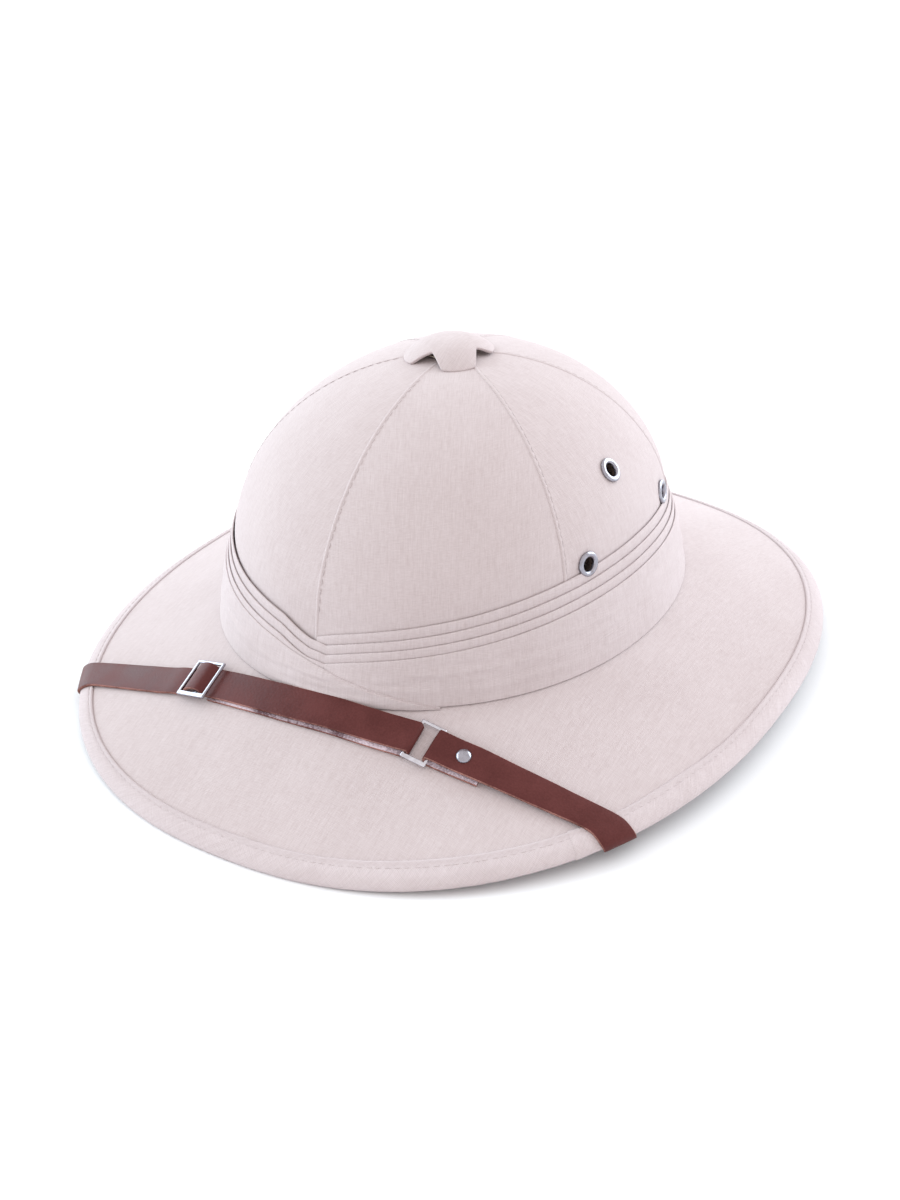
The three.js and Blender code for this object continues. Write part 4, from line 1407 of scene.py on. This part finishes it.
def window_frame(bm, size):
    """A flat frame round one window, whose front bar is stouter than the others."""
    box = bmesh.ops.create_cube(bm, size=1.0)["verts"]
    bmesh.ops.scale(bm, vec=(size["length"], size["width"], size["thick"]), verts=box)
    flats = [face for face in bm.faces if abs(face.normal.z) > 0.9]
    bmesh.ops.inset_individual(bm, faces=flats, thickness=size["bar"])
    for vert in {vert for face in flats for vert in face.verts if vert.co.y < 0}:
        vert.co.y += size["front_bar"] - size["bar"]
    rings = [edge for face in flats for edge in face.edges]
    bmesh.ops.delete(bm, geom=flats, context="FACES_ONLY")
    bmesh.ops.bridge_loops(bm, edges=rings)


def rounded(bm, width):
    corners = [edge for edge in bm.edges if edge.calc_face_angle(0.0) > radians(40)]
    bmesh.ops.bevel(bm, geom=corners, offset=width, segments=3, profile=0.5,
                    affect="EDGES", material=-1)


def set_on_strap(bm, x, height, aside=0.0, tilt=0.0):
    """Moves a shape made flat at the origin onto the strap, tilted along it in degrees."""
    spot, turn = strap_place(x, height, aside)
    turn = Matrix.Translation(spot) @ turn @ Matrix.Rotation(radians(-tilt), 4, "Y")
    bmesh.ops.transform(bm, matrix=turn, verts=bm.verts)


def make_slider():
    """The slider: a window frame with a middle bar, set a little lower, under the strap."""
    bm = bmesh.new()
    window_frame(bm, SLIDER)
    bmesh.ops.recalc_face_normals(bm, faces=bm.faces)
    rounded(bm, 0.45)
    bar = bmesh.new()
    box = bmesh.ops.create_cube(bar, size=1.0)["verts"]
    bmesh.ops.scale(bar, vec=(SLIDER["bar"], SLIDER["width"] - SLIDER["bar"], 1.0), verts=box)
    bmesh.ops.translate(bar, vec=(0.0, 0.0, -SLIDER["middle_drop"]), verts=box)
    rounded(bar, 0.4)
    mesh = bpy.data.meshes.new("bar")
    bar.to_mesh(mesh)
    bar.free()
    bm.from_mesh(mesh)
    bpy.data.meshes.remove(mesh)
    lift = SLIDER["lift"] + SLIDER["thick"] / 2
    set_on_strap(bm, SLIDER["x"], lift, SLIDER["aside"], SLIDER["tilt"])
    return new_piece("buckle_slider", bm, [NICKEL_PAINTED_SHADE], ["strap_slider"], sharp=60.0)


def make_ring():
    bm = bmesh.new()
    window_frame(bm, RING)
    bmesh.ops.recalc_face_normals(bm, faces=bm.faces)
    rounded(bm, 0.4)
    set_on_strap(bm, RING["x"], BAR_HEIGHT, RING["aside"])
    return new_piece("buckle_ring", bm, [NICKEL], ["strap_ring"], sharp=60.0)


print("frames:", len(make_slider().data.polygons), len(make_ring().data.polygons))

# %% Rivet and studs
RIVET = {"x": 67.4, "radius": 2.9, "height": 1.5, "lift": HIGH + LEATHER["thick"] / 2 + 0.55}
STUD = {"radius": 4.0, "height": 1.4, "lift": 2.35}


def dome_section(radius, height, skirt=0.35):
    """Half the outline of a low dome with a small rolled skirt, closed underneath."""
    section = [(0.0, 0.0), (radius - 0.1, 0.0), (radius, 0.12), (radius, skirt - 0.1)]
    for degrees in range(8, 91, 8):
        angle = radians(degrees)
        section.append((radius * 0.94 * math.cos(angle), mix(skirt, height, math.sin(angle))))
    section.append((0.0, height))
    return section


def make_rivet():
    bm = spun(dome_section(RIVET["radius"], RIVET["height"]), 40, closed=False)
    set_on_strap(bm, RIVET["x"], RIVET["lift"])
    return new_piece("strap_rivet_head", bm, [NICKEL_PAINTED_SHADE], ["strap_rivet"])


def make_studs():
    """The studs face down from the brim's underside, whose slope three plumb lines give."""
    for side in ("left", "right"):
        middle = stud_middle(side)
        tips = [Vector((middle.x + dx, middle.y + dy, 0.0)) for dx, dy in ((0, 0), (2, 0), (0, 2))]
        for tip in tips:
            tip.z = plumb(tip.x, tip.y, False)
        facing = (tips[1] - tips[0]).cross(tips[2] - tips[0]).normalized()
        if facing.z > 0:
            facing.negate()
        spot = tips[0] + facing * STUD["lift"]
        bm = spun(dome_section(STUD["radius"], STUD["height"]), 40, closed=False)
        bmesh.ops.transform(bm, matrix=standing_at(spot, facing), verts=bm.verts)
        new_piece(f"strap_stud_head_{side}", bm, [NICKEL], [f"strap_stud_{side}"])


print("rivet:", len(make_rivet().data.polygons), "faces")
make_studs()

# %% [markdown]
# ## Stitches
# Rows of real stitches finish the tape and the gore seams. One stitch is a tiny stretched sphere
# of a few dozen faces, and it is repeated along a line, half sunk in the cloth.

# %% Stitch rows
STITCH = {"length": 2.5, "gap": 0.9, "thick": 0.34}
TAPE_STEPS = 1440
SEAM_STEPS = 240


def sew(name, lines):
    """A piece of thread: lines are lists of (point, way out of the cloth)."""
    bm = bmesh.new()
    pitch = STITCH["length"] + STITCH["gap"]
    half = STITCH["thick"] / 2
    shape = (Matrix.Diagonal((STITCH["length"] / 2, half, half, 1.0))
             @ Matrix.Rotation(math.pi / 2, 4, "Y"))
    count = 0
    for line in lines:
        carried = 0.0
        for (before, _), (here, out) in zip(line, line[1:]):
            carried += (here - before).length
            if carried < pitch:
                continue
            carried -= pitch
            along = (here - before).normalized()
            side = out.cross(along).normalized()
            turn = Matrix((along, side, along.cross(side))).transposed().to_4x4()
            bmesh.ops.create_uvsphere(bm, u_segments=6, v_segments=5, radius=1.0,
                                      matrix=Matrix.Translation(here) @ turn @ shape)
            count += 1
    new_piece(name, bm, [THREAD])
    return count


def tape_line():
    """A line round the tape, just outside its welt."""
    line = []
    for step in range(TAPE_STEPS + 1):
        angle = 2 * math.pi * step / TAPE_STEPS
        point = rim_point(angle, *(Vector((-5.15, 5.58)) + tape_drift(angle) * 0.65))
        out = (point - rim_point(angle, -4.6, 3.0)).normalized()
        line.append((point, out))
    return line


def seam_lines():
    """A line up each gore seam, at the edge of its lap."""
    lines = []
    for seam in map(radians, SEAMS):
        line = []
        for step in range(SEAM_STEPS + 1):
            climb = APEX_CLIMB * 0.9 * step / SEAM_STEPS
            point, ahead = dome_point(seam, climb), dome_point(seam, climb + 0.01)
            beside = dome_point(seam + 0.01, climb)
            round_way = (beside - point).normalized()
            out = round_way.cross(ahead - point).normalized()
            line.append((point + round_way * LAP["width"] + out * 0.13, out))
        lines.append(line)
    return lines


print("tape stitches:", sew("tape_stitches", [tape_line()]))
print("seam stitches:", sew("seam_stitches", seam_lines()))
